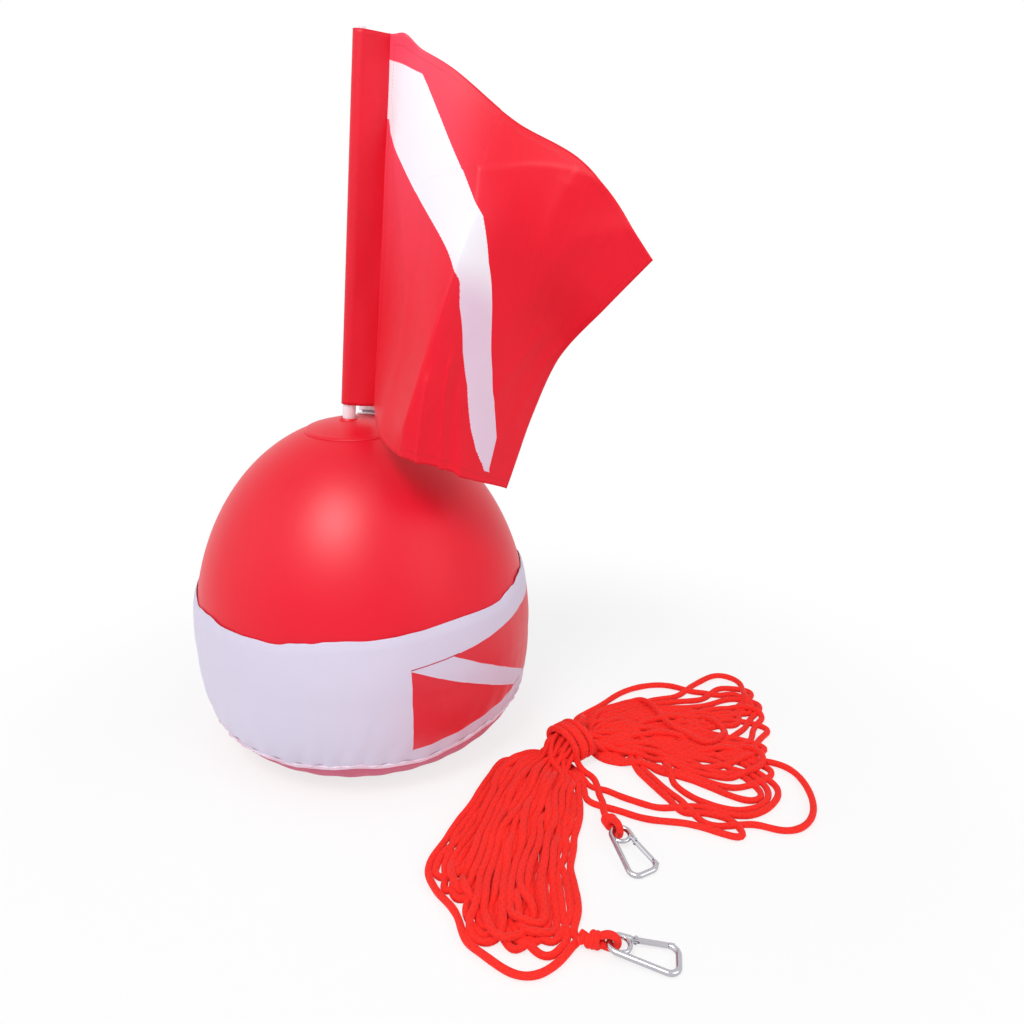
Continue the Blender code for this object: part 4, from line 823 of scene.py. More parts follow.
def sliced(piece: bpy.types.Object, way: Sequence[float], distance: float) -> bpy.types.Object:
    """Keep what lies further out than a distance along a way, and close the cut."""
    normal = Vector(way)
    plane = {"plane_co": normal * distance, "plane_no": normal, "clear_inner": True}
    with edited(piece.data) as bm:
        bmesh.ops.bisect_plane(bm, geom=bm.verts[:] + bm.edges[:] + bm.faces[:], **plane)
        fill_holes(bm)
    return piece


def joined(name: str, parts: Sequence[bpy.types.Object], where: Matrix) -> bpy.types.Object:
    """One piece from several, put in its place."""
    bm = bmesh.new()
    for part in parts:
        bm.from_mesh(part.data)
        bpy.data.objects.remove(part)
    return placed(name, bm, where)


# Ball and cover


def ball_radius(height: Points) -> Points:
    """Radius of the ball's envelope at each height."""
    high = np.clip((height - WIDEST_HEIGHT) / (BALL_HEIGHT - WIDEST_HEIGHT), 0.0, 1.0)
    low = np.clip((WIDEST_HEIGHT - height) / WIDEST_HEIGHT, 0.0, 1.0)
    upper = BALL_RADIUS * np.sqrt(1.0 - high**UPPER_POWER) * (1.0 + EGG_SHARE * high)
    swell = (1.0 - low**LOWER_POWER) ** (1.0 / LOWER_POWER)
    lower = FOOT_RADIUS + (BALL_RADIUS - FOOT_RADIUS) * swell
    return np.where(height >= WIDEST_HEIGHT, upper, lower)


def ball_side(height: Points, out: Points) -> tuple[Points, Points]:
    """Radius and height of the points outside the envelope by a distance square to it."""
    step = BALL_HEIGHT / 2000.0
    low = np.clip(height - step, 0.0, BALL_HEIGHT)
    high = np.clip(height + step, 0.0, BALL_HEIGHT)
    rise = high - low
    run = ball_radius(high) - ball_radius(low)
    size = np.hypot(rise, run)
    return ball_radius(height) + out * rise / size, height - out * run / size


def around(bearing: Points, radius: Points, height: Points) -> Points:
    """Points at bearings, counted from the front towards +X."""
    return np.stack([radius * np.sin(bearing), -radius * np.cos(bearing), height], axis=1)


def dome_height(radius: Points, out: float) -> Points:
    """Height of the dome at a radius, outside the envelope by a distance."""
    heights = np.linspace(WIDEST_HEIGHT, BALL_HEIGHT, 3000)
    reach, level = ball_side(heights, np.full_like(heights, out))
    return np.interp(radius, reach[::-1], level[::-1])


def mast_frame() -> Matrix:
    """The mast's own frame: origin where its axis meets the envelope, Z up the pole."""
    lean = math.radians(5.4)
    return Matrix.Translation((-0.0052, 0.0, BALL_HEIGHT)) @ Matrix.Rotation(lean, 4, "Y")


def moved(points: Points, where: Matrix) -> Points:
    """Points carried by a frame."""
    matrix = np.array(where)
    return points @ matrix[:3, :3].T + matrix[:3, 3]


@dataclass
class Ball:
    """The inflated bladder with its welded patch and the pole's socket."""

    steps: int = 144
    rows: int = 96
    foot_share: float = 0.0105
    wall: float = 0.0012
    mouth: float = 0.0145
    patch_radius: float = 0.050
    patch_wall: float = 0.0007
    bore: float = 0.0069
    socket_wall: float = 0.0014
    socket_depth: float = 0.0845
    socket_floor: float = 0.002
    # Ring by ring from the socket: the share of the way out, and the height as a share of the wall
    patch_shares: tuple[Place, ...] = (
        (0.0, 0.4), (0.05, 0.7), (0.13, 1.0), (0.5, 1.05), (0.80, 1.0), (0.86, 1.0),
        (0.885, 1.25), (0.91, 1.35), (0.935, 1.25), (0.955, 0.9), (0.985, 0.7), (1.0, 0.0),
    )

    def build(self) -> None:
        """Make the skin, the patch and the socket."""
        self.skin()
        self.patch()
        self.socket()

    def face(self, heights: Points, depth: float) -> list[Place]:
        """Radius and height pairs at a depth inside the envelope, from the foot up to the mouth."""
        reach, level = ball_side(heights, np.full_like(heights, -depth))
        keep = reach > self.mouth
        top = float(dome_height(np.array([self.mouth]), -depth)[0])
        return [*zip(reach[keep], level[keep]), (self.mouth, top)]

    def skin(self) -> None:
        """The bladder's skin, thick and open at its mouth."""
        low = BALL_HEIGHT * self.foot_share
        turn = math.pi * np.linspace(0.0, 1.0, self.rows)
        heights = low + (BALL_HEIGHT - low) * (0.5 - 0.5 * np.cos(turn))
        outer = self.face(heights, SKIN_DEPTH)[::-1]
        floor = min(height for _, height in outer)
        lifted = floor + self.wall
        inner = self.face(heights, SKIN_DEPTH + self.wall)
        inner = [(radius, max(height, lifted)) for radius, height in inner]
        outline = [*outer, (0.0, floor), (0.0, lifted), *inner]
        PAINTS.fit(spun("ball_skin", outline, self.steps, Matrix.Identity(4)), RED_VINYL, "float", "bladder")

    def patch(self) -> None:
        """The round patch on the dome, with its welded rim."""
        shares, lifts = np.array(self.patch_shares).T
        rows = len(shares) - 1

        def place(grid: Points) -> Points:
            """Rings from the socket out to the patch's rim, on the dome."""
            row = np.rint(grid[:, 1] * rows).astype(int)
            angle = -math.tau * grid[:, 0]
            ring = np.stack([np.cos(angle), np.sin(angle), 0.0 * angle], axis=1)
            share = shares[row][:, None]
            hold = moved((self.bore + self.socket_wall) * ring, mast_frame())
            flat = hold * (1.0 - share) + self.patch_radius * ring * share
            level = dome_height(np.hypot(flat[:, 0], flat[:, 1]), GAP - SKIN_DEPTH)
            return np.stack([flat[:, 0], flat[:, 1], level + lifts[row] * self.patch_wall], axis=1)

        patch = shaped_grid("ball_patch", 96, rows, place, lambda grid: grid * 0.1, closed=True)
        add_wall(patch, 0.0006)
        PAINTS.fit(patch, RED_VINYL, "float", "pole_socket")

    def socket(self) -> None:
        """The leaning socket tube, with its small collar on the dome."""
        bore, hold, depth = self.bore, self.bore + self.socket_wall, self.socket_depth
        collar = float(dome_height(np.array([0.006]), -SKIN_DEPTH)[0]) - BALL_HEIGHT
        outline = [
            (bore, self.socket_floor - depth),
            (bore, collar + 0.0016),
            (bore + 0.0004, collar + 0.0022),
            (hold - 0.0003, collar + 0.0022),
            (hold + 0.0005, collar + 0.0014),
            (hold + 0.0012, collar - 0.0004),
            (hold, collar - 0.0020),
            (hold, -depth),
            (0.0, -depth),
            (0.0, self.socket_floor - depth),
        ]
        PAINTS.fit(spun("pole_socket_tube", outline, 48, mast_frame()), RED_VINYL, "float")


@dataclass
class Cover:
    """The sewn cover: white band with its gathered top, binding, red base, and elastic."""

    top: float = 0.1755
    rise: float = 0.0060
    hem: float = 0.050
    hem_dip: float = 0.011
    hem_rise: float = 0.004
    tape_width: float = 0.0060
    tape_crown: float = 0.0015
    tape_wall: float = 0.0007
    pucker: float = 0.0018
    scallop: float = 0.0036
    casing: float = 0.0085
    elastic_width: float = 0.0056
    foot_share: float = 0.25
    base_cut_radius: float = 0.172

    def pleats(self, bearing: Points) -> Points:
        """How far each bearing stands in a pleat, from 0 to 1, unevenly spread."""
        drift = bearing + 0.090 * np.sin(4.0 * bearing + 0.6) + 0.035 * np.sin(9.0 * bearing + 2.1)
        strong = 0.62 + 0.38 * np.sin(2.0 * bearing + 4.0)
        broad = 0.5 + 0.5 * np.sin(19.0 * drift)
        small = 0.5 + 0.5 * np.sin(43.0 * drift + 1.0)
        return (0.75 * (1.0 - (1.0 - broad) ** 2) + 0.25 * small) * strong

    def edge_height(self, bearing: Points) -> Points:
        """Height of the band's gathered top edge."""
        slow = 0.0016 * np.sin(4.0 * bearing + 0.4) + 0.0012 * np.sin(9.0 * bearing + 2.0)
        return self.top + self.rise * np.sin(bearing) + slow + self.scallop * (self.pleats(bearing) - 0.4)

    def hem_height(self, bearing: Points) -> Points:
        """Height of the middle of the binding."""
        even = self.hem - self.hem_dip * np.cos(bearing) + self.hem_rise * np.sin(bearing)
        uneven = 0.0024 * np.sin(5.0 * bearing + 2.2) + 0.0016 * np.sin(9.0 * bearing + 0.8)
        return even + uneven + 0.0008 * np.sin(23.0 * bearing)

    def band_out(self, bearing: Points, height: Points) -> Points:
        """How far the band's outer face stands off the envelope."""
        drop = self.edge_height(bearing) - height
        casing = np.exp(-((drop - self.casing) / 0.0035) ** 2)
        fade = np.exp(-np.maximum(drop - self.casing, 0.0) / 0.020)
        header = np.clip(1.0 - drop / self.casing, 0.0, 1.0)
        body = self.pucker * self.pleats(bearing) * fade * (1.0 - 0.65 * casing) * (1.0 - 0.75 * header)
        ruffle = np.sin(139.0 * bearing + 3.0 * np.sin(11.0 * bearing)) * (0.6 + 0.4 * np.sin(5.0 * bearing))
        frill = header * (0.0001 * ruffle - 0.0006)
        above = height - self.hem_height(bearing)
        slanting = np.sin(43.0 * bearing - 110.0 * above + 2.0 * np.sin(5.0 * bearing))
        tight = 0.0009 * np.exp(-above / 0.022) * slanting
        slack = 0.0007 * np.sin(9.0 * bearing + 26.0 * height) * np.sin(3.0 * bearing + 1.0)
        return body + frill + tight + np.maximum(slack, 0.0) + 0.0004 * casing

    def build(self) -> None:
        """Make the four sewn parts of the cover."""
        tape = self.sewn("cover_binding", (560, 10), self.tape_wall, WHITE_TAPE, "cover_hem", self.tape_face)
        band = self.sewn("cover_band_cloth", (640, 46), COVER_WALL, BAND_CLOTH, "cover_band", self.band_face)
        base = self.sewn("cover_base_cloth", (288, 44), COVER_WALL, RED_CLOTH, "cover_base", self.base_face)
        self.sewn("cover_elastic_band", (480, 3), 0.0007, WHITE_ELASTIC, "cover_elastic", self.elastic_face)

    def sewn(
        self, name: str, size: tuple[int, int], wall: float, finish: Finish, node: str, face: Face
    ) -> bpy.types.Object:
        """Make one sewn part, closed round the ball.

        Args:
            name: The piece's name.
            size: Its columns and rows.
            wall: Its thickness.
            finish: What it is made of.
            node: The node that it stands for.
            face: Turns bearings and shares up into radius, height, and place across the cut.

        Returns:
            The new piece.
        """

        def bearing(grid: Points) -> Points:
            """The bearing of each column."""
            return math.tau * grid[:, 0] - math.pi

        def place(grid: Points) -> Points:
            """The part's outer face."""
            return around(bearing(grid), *face(bearing(grid), grid[:, 1])[:2])

        def cut(grid: Points) -> Points:
            """Length round, and place across."""
            return np.stack([bearing(grid) * BALL_RADIUS, face(bearing(grid), grid[:, 1])[2]], axis=1)

        piece = shaped_grid(name, *size, place, cut, closed=True)
        add_wall(piece, wall)
        return PAINTS.fit(piece, finish, "float", node)

    def band_face(self, bearing: Points, share: Points) -> Spread:
        """The white band, from the binding up to its gathered edge."""
        low = self.hem_height(bearing)
        height = low + (self.edge_height(bearing) - low) * (1.0 - (1.0 - share) ** 1.25)
        return *ball_side(height, self.band_out(bearing, height)), height

    def elastic_face(self, bearing: Points, share: Points) -> Spread:
        """The elastic inside the casing."""
        across = self.elastic_width * share
        height = self.edge_height(bearing) - self.casing + across - 0.5 * self.elastic_width
        return *ball_side(height, np.full_like(height, -0.0007)), across

    def tape_face(self, bearing: Points, share: Points) -> Spread:
        """The ruffled binding over the seam between band and base."""
        across = 2.0 * share - 1.0
        half = 0.5 * self.tape_width
        ripple = np.sin(71.0 * bearing + 2.5 * np.sin(6.0 * bearing))
        height = self.hem_height(bearing) + half * across + 0.0007 * ripple
        crown = self.tape_crown * np.sqrt(np.clip(1.0 - across**4, 0.0, 1.0))
        under = np.maximum(self.band_out(bearing, height), 0.0) * np.clip(0.5 + across, 0.0, 1.0)
        return *ball_side(height, under + crown * (0.9 + 0.35 * ripple) - 0.0001), half * across

    def base_face(self, bearing: Points, share: Points) -> Spread:
        """The red base under the binding, with its flat foot."""
        climb = np.clip((share - self.foot_share) / (1.0 - self.foot_share), 0.0, 1.0)
        height = (self.hem_height(bearing) + 0.001) * climb**1.6
        out = 0.0007 * np.sin(31.0 * bearing + 90.0 * height) * climb * (1.0 - climb) * 2.0
        reach, level = ball_side(height, np.minimum(out, 0.0006))
        in_foot = share < self.foot_share
        reach = np.where(in_foot, FOOT_RADIUS * share / self.foot_share, reach)
        level = np.where(in_foot, 0.0, np.maximum(level, 0.0))
        return reach, level, reach + level


# Mast and flag

# Where the flag's cloth hangs, row by row from the top edge down and from the seam out.
# Each place is across, towards the back, and up: the first two are shares of the fly, the last of the
# hoist.
FLAG_PLACE_SHARES = (
    ((0.0, 0.0, 1.0), (0.16, -0.08, 0.93), (0.33, -0.16, 0.81), (0.515, -0.24, 0.715), (0.67, -0.32, 0.515)),
    ((0.0, 0.0, 0.75), (0.1, -0.12, 0.73), (0.27, -0.24, 0.645), (0.42, -0.24, 0.57), (0.58, -0.25, 0.38)),
    ((0.0, 0.0, 0.5), (0.11, -0.18, 0.48), (0.23, -0.29, 0.465), (0.36, -0.22, 0.38), (0.49, -0.14, 0.225)),
    ((0.0, 0.0, 0.25), (0.1, -0.21, 0.235), (0.19, -0.33, 0.215), (0.28, -0.28, 0.17), (0.43, -0.15, 0.055)),
    (
        (0.0, 0.0, 0.0), (0.06, -0.23, -0.035), (0.16, -0.35, -0.04),
        (0.26, -0.33, -0.075), (0.375, -0.24, -0.14),
    ),
)


@dataclass(frozen=True)
class Fold:
    """A fold of the cloth along a bent line, given in shares out from the seam and down from the top."""

    places: tuple[Place, ...]
    height: float
    left: float
    right: float
    soft: float = 0.003


FLAG_FOLDS = (
    Fold(((0.49, 0.19), (0.52, 0.34), (0.50, 0.55), (0.47, 0.71), (0.42, 0.92)), 0.011, 0.030, 0.042),
    Fold(((0.49, 0.19), (0.61, 0.10), (0.79, 0.00)), 0.008, 0.030, 0.040),
    Fold(((0.74, 0.10), (0.78, 0.30)), 0.0035, 0.014, 0.022, 0.006),
    Fold(((0.92, 0.00), (0.84, 0.20), (0.82, 0.45)), 0.0035, 0.016, 0.020, 0.006),
    Fold(((0.50, 0.80), (0.52, 1.02)), 0.0036, 0.006, 0.008, 0.003),
    Fold(((0.60, 0.74), (0.65, 1.02)), 0.0040, 0.007, 0.009, 0.003),
    Fold(((0.70, 0.80), (0.78, 1.02)), 0.0036, 0.007, 0.009, 0.003),
    Fold(((0.90, 0.50), (0.86, 0.74)), 0.0036, 0.007, 0.010, 0.004),
    Fold(((0.97, 0.52), (0.95, 0.80)), 0.0034, 0.007, 0.010, 0.004),
    Fold(((0.10, 0.30), (0.22, 0.62), (0.20, 0.95)), 0.0030, 0.018, 0.022, 0.008),
)


# Where the stripe's two edges cross the hanging cloth: down from the top edge, then out from the seam
STRIPE_SHARES = (
    (0.00, 0.00, 0.08), (0.05, 0.00, 0.15), (0.15, 0.00, 0.31), (0.24, 0.045, 0.44), (0.33, 0.19, 0.545),
    (0.46, 0.40, 0.61), (0.54, 0.53, 0.67), (0.60, 0.555, 0.72), (0.70, 0.645, 0.805), (0.77, 0.73, 0.85),
    (0.87, 0.785, 0.893), (0.92, 0.825, 0.893), (0.96, 0.875, 0.893), (1.00, 0.885, 0.90),
)


def smooth_weights(places: int, at: Points) -> Points:
    """Weights of a smooth curve through evenly spaced places, at shares along it."""
    last = places - 1
    span = np.minimum((at * last).astype(int), last - 1)
    part = at * last - span
    pull = (
        -0.5 * part**3 + part**2 - 0.5 * part,
        1.5 * part**3 - 2.5 * part**2 + 1.0,
        -1.5 * part**3 + 2.0 * part**2 + 0.5 * part,
        0.5 * part**3 - 0.5 * part**2,
    )
    weights = np.zeros((len(at), places + 2))
    rows = np.arange(len(at))
    for offset, weight in zip((0, 1, 2, 3), pull):
        np.add.at(weights, (rows, span + offset), weight)
    inner = weights[:, 1:-1].copy()
    inner[:, 0] += 2.0 * weights[:, 0]
    inner[:, 1] -= weights[:, 0]
    inner[:, -1] += 2.0 * weights[:, -1]
    inner[:, -2] -= weights[:, -1]
    return inner


@dataclass
class Flag:
    """The flag: its sleeve over the pole, and the cloth that streams from the seam."""

    hoist: float = FLAG_CLOTH.hoist
    reach: float = 0.360
    fly: float = 0.320
    wall: float = 0.0005
    foot: float = 0.0145
    pole_radius: float = 0.0065
    sleeve_fit: float = 0.0009
    sleeve_wall: float = 0.0006
    seam_reach: float = 0.0270
    seam_twist: float = math.radians(24.0)
    seam_lip: float = 0.0009
    columns: int = 150
    rows: int = 136

    def seam(self, share: Points, reach: Points) -> Points:
        """Points of the seam line, at a share of the hoist from the foot and a reach from the axis."""
        twist = self.seam_twist * share
        height = self.foot + self.hoist * share
        return np.stack([reach * np.cos(twist), reach * np.sin(twist), height], axis=1)

    def creases(self, out: Points, down: Points) -> Points:
        """How far the cloth stands forward of its main folds, in metres."""
        here = np.stack([self.reach * out, self.hoist * down], axis=1)
        total = np.zeros(len(here))
        for fold in FLAG_FOLDS:
            bends = np.array(fold.places) * (self.reach, self.hoist)
            nearest = np.full(len(here), 9.0)
            width = np.full(len(here), fold.left)
            for start, end in zip(bends, bends[1:]):
                line = end - start
                along = np.clip((here - start) @ line / line.dot(line), 0.0, 1.0)
                gap = here - start - along[:, None] * line
                size = np.hypot(gap[:, 0], gap[:, 1])
                right = gap[:, 0] * line[1] - gap[:, 1] * line[0] > 0.0
                nearer = size < nearest
                width = np.where(nearer, np.where(right, fold.right, fold.left), width)
                nearest = np.where(nearer, size, nearest)
            total += fold.height * np.exp(-(np.hypot(nearest, fold.soft) - fold.soft) / width)
        return total

    def cloth_place(self, out: Points, down: Points) -> Points:
        """Points of the cloth in the mast's frame."""
        shares = np.array(FLAG_PLACE_SHARES)
        row = smooth_weights(len(shares), down)
        column = smooth_weights(len(shares[0]), out)
        place = np.einsum("nr,nc,rcx->nx", row, column, shares)
        seam = self.seam(1.0 - down, np.full_like(down, self.seam_reach - 0.0030))
        fold = 0.005 * out * (1.0 - 0.25 * out) * (0.25 + 0.75 * down)
        swing = fold * np.sin(math.tau * (2.6 * out - 0.35 * down))
        hold = np.clip(out / 0.08, 0.0, 1.0)
        swing = swing - self.creases(out, down) * hold
        x = seam[:, 0] + self.reach * place[:, 0] + 0.5 * swing
        y = seam[:, 1] + self.reach * place[:, 1] + swing
        curl = 0.006 * np.exp(-(((out - 0.07) / 0.045) ** 2)) * np.exp(-down / 0.035)
        return np.stack([x, y - curl, self.foot + self.hoist * place[:, 2] + curl], axis=1)

    def build(self) -> None:
        """Make the sleeve and the cloth."""
        self.sleeve()
        self.cloth()

    def sleeve_place(self, round_share: Points, up: Points, swell: float) -> Points:
        """Points of the sleeve's drop-shaped wall, round the pole and drawn in to the seam."""
        hold = self.pole_radius + self.sleeve_fit + swell
        reach = self.seam_reach + swell
        half_lip = self.seam_lip + swell
        lean = math.asin((hold - half_lip) / reach)
        start = 0.5 * math.pi - lean
        root = (hold * math.cos(start), hold * math.sin(start))
        flat = math.hypot(reach - root[0], root[1] - half_lip)
        bend = hold * (math.tau - 2.0 * start)
        total = 2.0 * flat + bend
        length = np.minimum(round_share, 1.0 - round_share) * total
        half = np.where(round_share < 0.5, 1.0, -1.0)
        in_flat = length < flat
        first = np.clip(length / flat, 0.0, 1.0)
        angle = start + np.clip((length - flat) / bend, 0.0, 1.0) * (math.tau - 2.0 * start)
        ripple = 0.0005 * np.sin(9.0 * up + 1.0) + 0.0005 * np.sin(23.0 * up + 2.0)
        bow = np.where(in_flat, np.sin(math.pi * first), 0.0) * (0.0007 + ripple)
        x = np.where(in_flat, reach + (root[0] - reach) * first, hold * np.cos(angle))
        y = np.where(in_flat, half_lip + (root[1] - half_lip) * first, hold * np.sin(angle))
        y = half * (y + bow)
        twist = self.seam_twist * up
        turned_x = x * np.cos(twist) - y * np.sin(twist)
        turned_y = x * np.sin(twist) + y * np.cos(twist)
        return np.stack([turned_x, turned_y, self.foot + self.hoist * up], axis=1)

    def sleeve(self) -> None:
        """The hemmed sleeve, open at both ends."""
        mast = mast_frame()

        def place(grid: Points) -> Points:
            """The sleeve's outer face."""
            return moved(self.sleeve_place(grid[:, 0], grid[:, 1], self.sleeve_wall), mast)

        def cut(grid: Points) -> Points:
            """Once round the sleeve, and down from the top edge."""
            return np.stack([0.066 * grid[:, 0], self.hoist * (1.0 - grid[:, 1])], axis=1)

        sleeve = shaped_grid("flag_sleeve_cloth", 72, 90, place, cut)
        add_wall(sleeve, self.sleeve_wall)
        PAINTS.fit(sleeve, SLEEVE_CLOTH, "flag", "flag_sleeve")

    def cloth(self) -> None:
        """The cloth in its folds."""
        mast = mast_frame()

        def place(grid: Points) -> Points:
            """The middle of the cloth."""
            return moved(self.cloth_place(grid[:, 0], 1.0 - grid[:, 1]), mast)

        def cut(grid: Points) -> Points:
            """Out from the seam, and down from the top edge, with the stripe's two edges straight."""
            out, down = grid[:, 0], 1.0 - grid[:, 1]
            level, left, right = np.array(STRIPE_SHARES).T
            low = np.interp(down, level, left)
            high = np.interp(down, level, right)
            start = np.maximum(self.hoist * down - FLAG_CLOTH.stripe_below, 0.0)
            end = self.hoist * down + FLAG_CLOTH.stripe_above
            before = start * out / np.maximum(low, 0.001)
            within = start + (end - start) * (out - low) / (high - low)
            after = end + (FLAG_CLOTH.fly - end) * (out - high) / (1.0 - high)
            across = np.where(out < low, before, np.where(out < high, within, after))
            return np.stack([across, self.hoist * down], axis=1)

        cloth = shaped_grid("flag_cloth_sheet", self.columns, self.rows, place, cut)
        add_wall(cloth, self.wall, 0.0)
        PAINTS.fit(cloth, FLAG_CLOTH, "flag", "flag_cloth")


# Line


class Lobe(Enum):
    """The two lobes of the hank, by which way they lie from the tie."""

    LEFT = -1.0
    RIGHT = 1.0


@dataclass(frozen=True)
class Loop:
    """One loop of the hank.

    The runs lie between the lobe's two edges, at these shares of the way across. A loop with its own
    places follows those instead. One that passes outside the tie skips the pass before it.
    """

    tip: Place = (0.0, 0.0)
    half_width: float = 0.014
    shares: tuple[float, float] = (0.0, 0.0)
    places: tuple[Place, ...] = ()
    outside: bool = False


# The lobes' two edges on the floor, from the tie outwards
LEFT_EDGES = (
    ((0.190, -0.090), (0.167, -0.118), (0.147, -0.156), (0.130, -0.194), (0.114, -0.224)),
    ((0.203, -0.112), (0.198, -0.143), (0.190, -0.195), (0.186, -0.247), (0.184, -0.293)),
)
RIGHT_EDGES = (
    ((0.244, -0.048), (0.272, -0.014), (0.312, 0.010), (0.352, 0.018), (0.392, 0.020)),
    ((0.252, -0.080), (0.284, -0.098), (0.320, -0.118), (0.352, -0.140), (0.384, -0.158)),
)

LEFT_LOOPS = (
    Loop((0.104, -0.262), 0.0130, (0.02, 0.26)),
    Loop((0.113, -0.280), 0.0140, (0.00, 0.34)),
    Loop((0.184, -0.330), 0.0150, (0.72, 1.00)),
    Loop((0.138, -0.326), 0.0130, (0.30, 0.58)),
    Loop((0.124, -0.288), 0.0135, (0.10, 0.42)),
    Loop((0.168, -0.334), 0.0150, (0.58, 0.92)),
    Loop((0.184, -0.346), 0.0165, (0.66, 1.02)),
    Loop((0.150, -0.323), 0.0140, (0.36, 0.74)),
    Loop((0.117, -0.284), 0.0130, (0.06, 0.30)),
    Loop((0.131, -0.292), 0.0150, (0.16, 0.52)),
    Loop((0.160, -0.335), 0.0150, (0.46, 0.82)),
    Loop((0.175, -0.331), 0.0140, (0.62, 0.96)),
    Loop((0.142, -0.329), 0.0140, (0.34, 0.50)),
    Loop((0.154, -0.331), 0.0160, (0.44, 0.70)),
    Loop((0.170, -0.326), 0.0140, (0.56, 0.88)),
)

RIGHT_LOOPS = (
    Loop(places=(
        (0.206, -0.110), (0.211, -0.122), (0.219, -0.138), (0.230, -0.156), (0.244, -0.171),
        (0.266, -0.182), (0.285, -0.189), (0.303, -0.193), (0.322, -0.192), (0.340, -0.199),
        (0.353, -0.211), (0.366, -0.217), (0.374, -0.208), (0.365, -0.195), (0.345, -0.184),
        (0.322, -0.176), (0.304, -0.158), (0.293, -0.130), (0.287, -0.102), (0.272, -0.076),
    ), outside=True),
    Loop(places=(
        (0.212, -0.112), (0.219, -0.127), (0.231, -0.142), (0.246, -0.151), (0.264, -0.158),
        (0.283, -0.164), (0.305, -0.168), (0.330, -0.174), (0.356, -0.184), (0.384, -0.182),
        (0.404, -0.164), (0.413, -0.140), (0.404, -0.114), (0.378, -0.092), (0.340, -0.074),
        (0.300, -0.062), (0.268, -0.058),
    ), outside=True),
    Loop((0.427, 0.033), 0.0150, (0.02, 0.30)),
    Loop(places=(
        (0.246, -0.054), (0.272, -0.062), (0.290, -0.082), (0.296, -0.110), (0.302, -0.140),
        (0.316, -0.168), (0.342, -0.187), (0.368, -0.195), (0.388, -0.200), (0.406, -0.206),
        (0.421, -0.201), (0.435, -0.186), (0.443, -0.165), (0.444, -0.140), (0.440, -0.118),
        (0.430, -0.104), (0.416, -0.096), (0.400, -0.090), (0.372, -0.078), (0.330, -0.060),
        (0.290, -0.044), (0.262, -0.040),
    )),
    Loop((0.412, -0.121), 0.0160, (0.62, 0.98)),
    Loop((0.429, 0.006), 0.0150, (0.12, 0.44)),
    Loop(places=(
        (0.236, -0.052), (0.240, -0.030), (0.250, -0.008), (0.266, 0.016), (0.288, 0.036),
        (0.314, 0.048), (0.338, 0.049), (0.358, 0.038), (0.378, 0.028), (0.402, 0.032), (0.420, 0.022),
        (0.426, 0.004), (0.414, -0.010), (0.388, -0.014), (0.350, -0.010), (0.306, -0.012),
        (0.268, -0.026),
    )),
    Loop((0.428, -0.040), 0.0150, (0.30, 0.62)),
    Loop((0.400, -0.158), 0.0160, (0.80, 1.00)),
    Loop(places=(
        (0.246, -0.046), (0.276, -0.050), (0.300, -0.070), (0.310, -0.098), (0.316, -0.126),
        (0.328, -0.154), (0.350, -0.172), (0.376, -0.176), (0.396, -0.162), (0.402, -0.140),
        (0.392, -0.120), (0.366, -0.104), (0.326, -0.086), (0.284, -0.066),
    )),
    Loop((0.420, -0.078), 0.0150, (0.44, 0.80)),
    Loop(places=(
        (0.246, -0.040), (0.272, -0.014), (0.304, 0.012), (0.334, 0.022), (0.356, 0.032), (0.376, 0.050),
        (0.393, 0.070), (0.407, 0.076), (0.417, 0.064), (0.421, 0.045), (0.424, 0.022), (0.414, -0.002),
        (0.388, -0.020), (0.350, -0.034), (0.306, -0.038), (0.268, -0.042),
    )),
    Loop((0.429, -0.014), 0.0150, (0.20, 0.52)),
    Loop((0.411, -0.101), 0.0150, (0.52, 0.88)),
    Loop(places=(
        (0.246, -0.036), (0.276, -0.006), (0.304, 0.004), (0.318, -0.016), (0.326, -0.044),
        (0.344, -0.066), (0.368, -0.074), (0.386, -0.062), (0.384, -0.042), (0.362, -0.026),
        (0.326, -0.026), (0.284, -0.036),
    )),
)

END_B_PLACES = (
    (0.2075, -0.3315), (0.194, -0.346), (0.182, -0.3610), (0.169, -0.3655), (0.157, -0.363),
    (0.146, -0.353), (0.129, -0.329), (0.115, -0.300), (0.107, -0.281), (0.101, -0.262),
    (0.0960, -0.246), (0.0950, -0.232), (0.1030, -0.222), (0.1160, -0.208), (0.132, -0.180),
    (0.150, -0.146), (0.172, -0.112), (0.190, -0.098),
)
END_A_PLACES = ((0.2290, -0.1260), (0.2340, -0.1400), (0.2395, -0.157), (0.2430, -0.1760), (0.2445, -0.1860))
TAIL_B_PLACES = (
    (0.2065, -0.103), (0.2035, -0.124), (0.2010, -0.148), (0.1985, -0.195), (0.1965, -0.240),
    (0.1970, -0.280), (0.2000, -0.308), (0.2060, -0.3250), (0.2090, -0.3300),
)


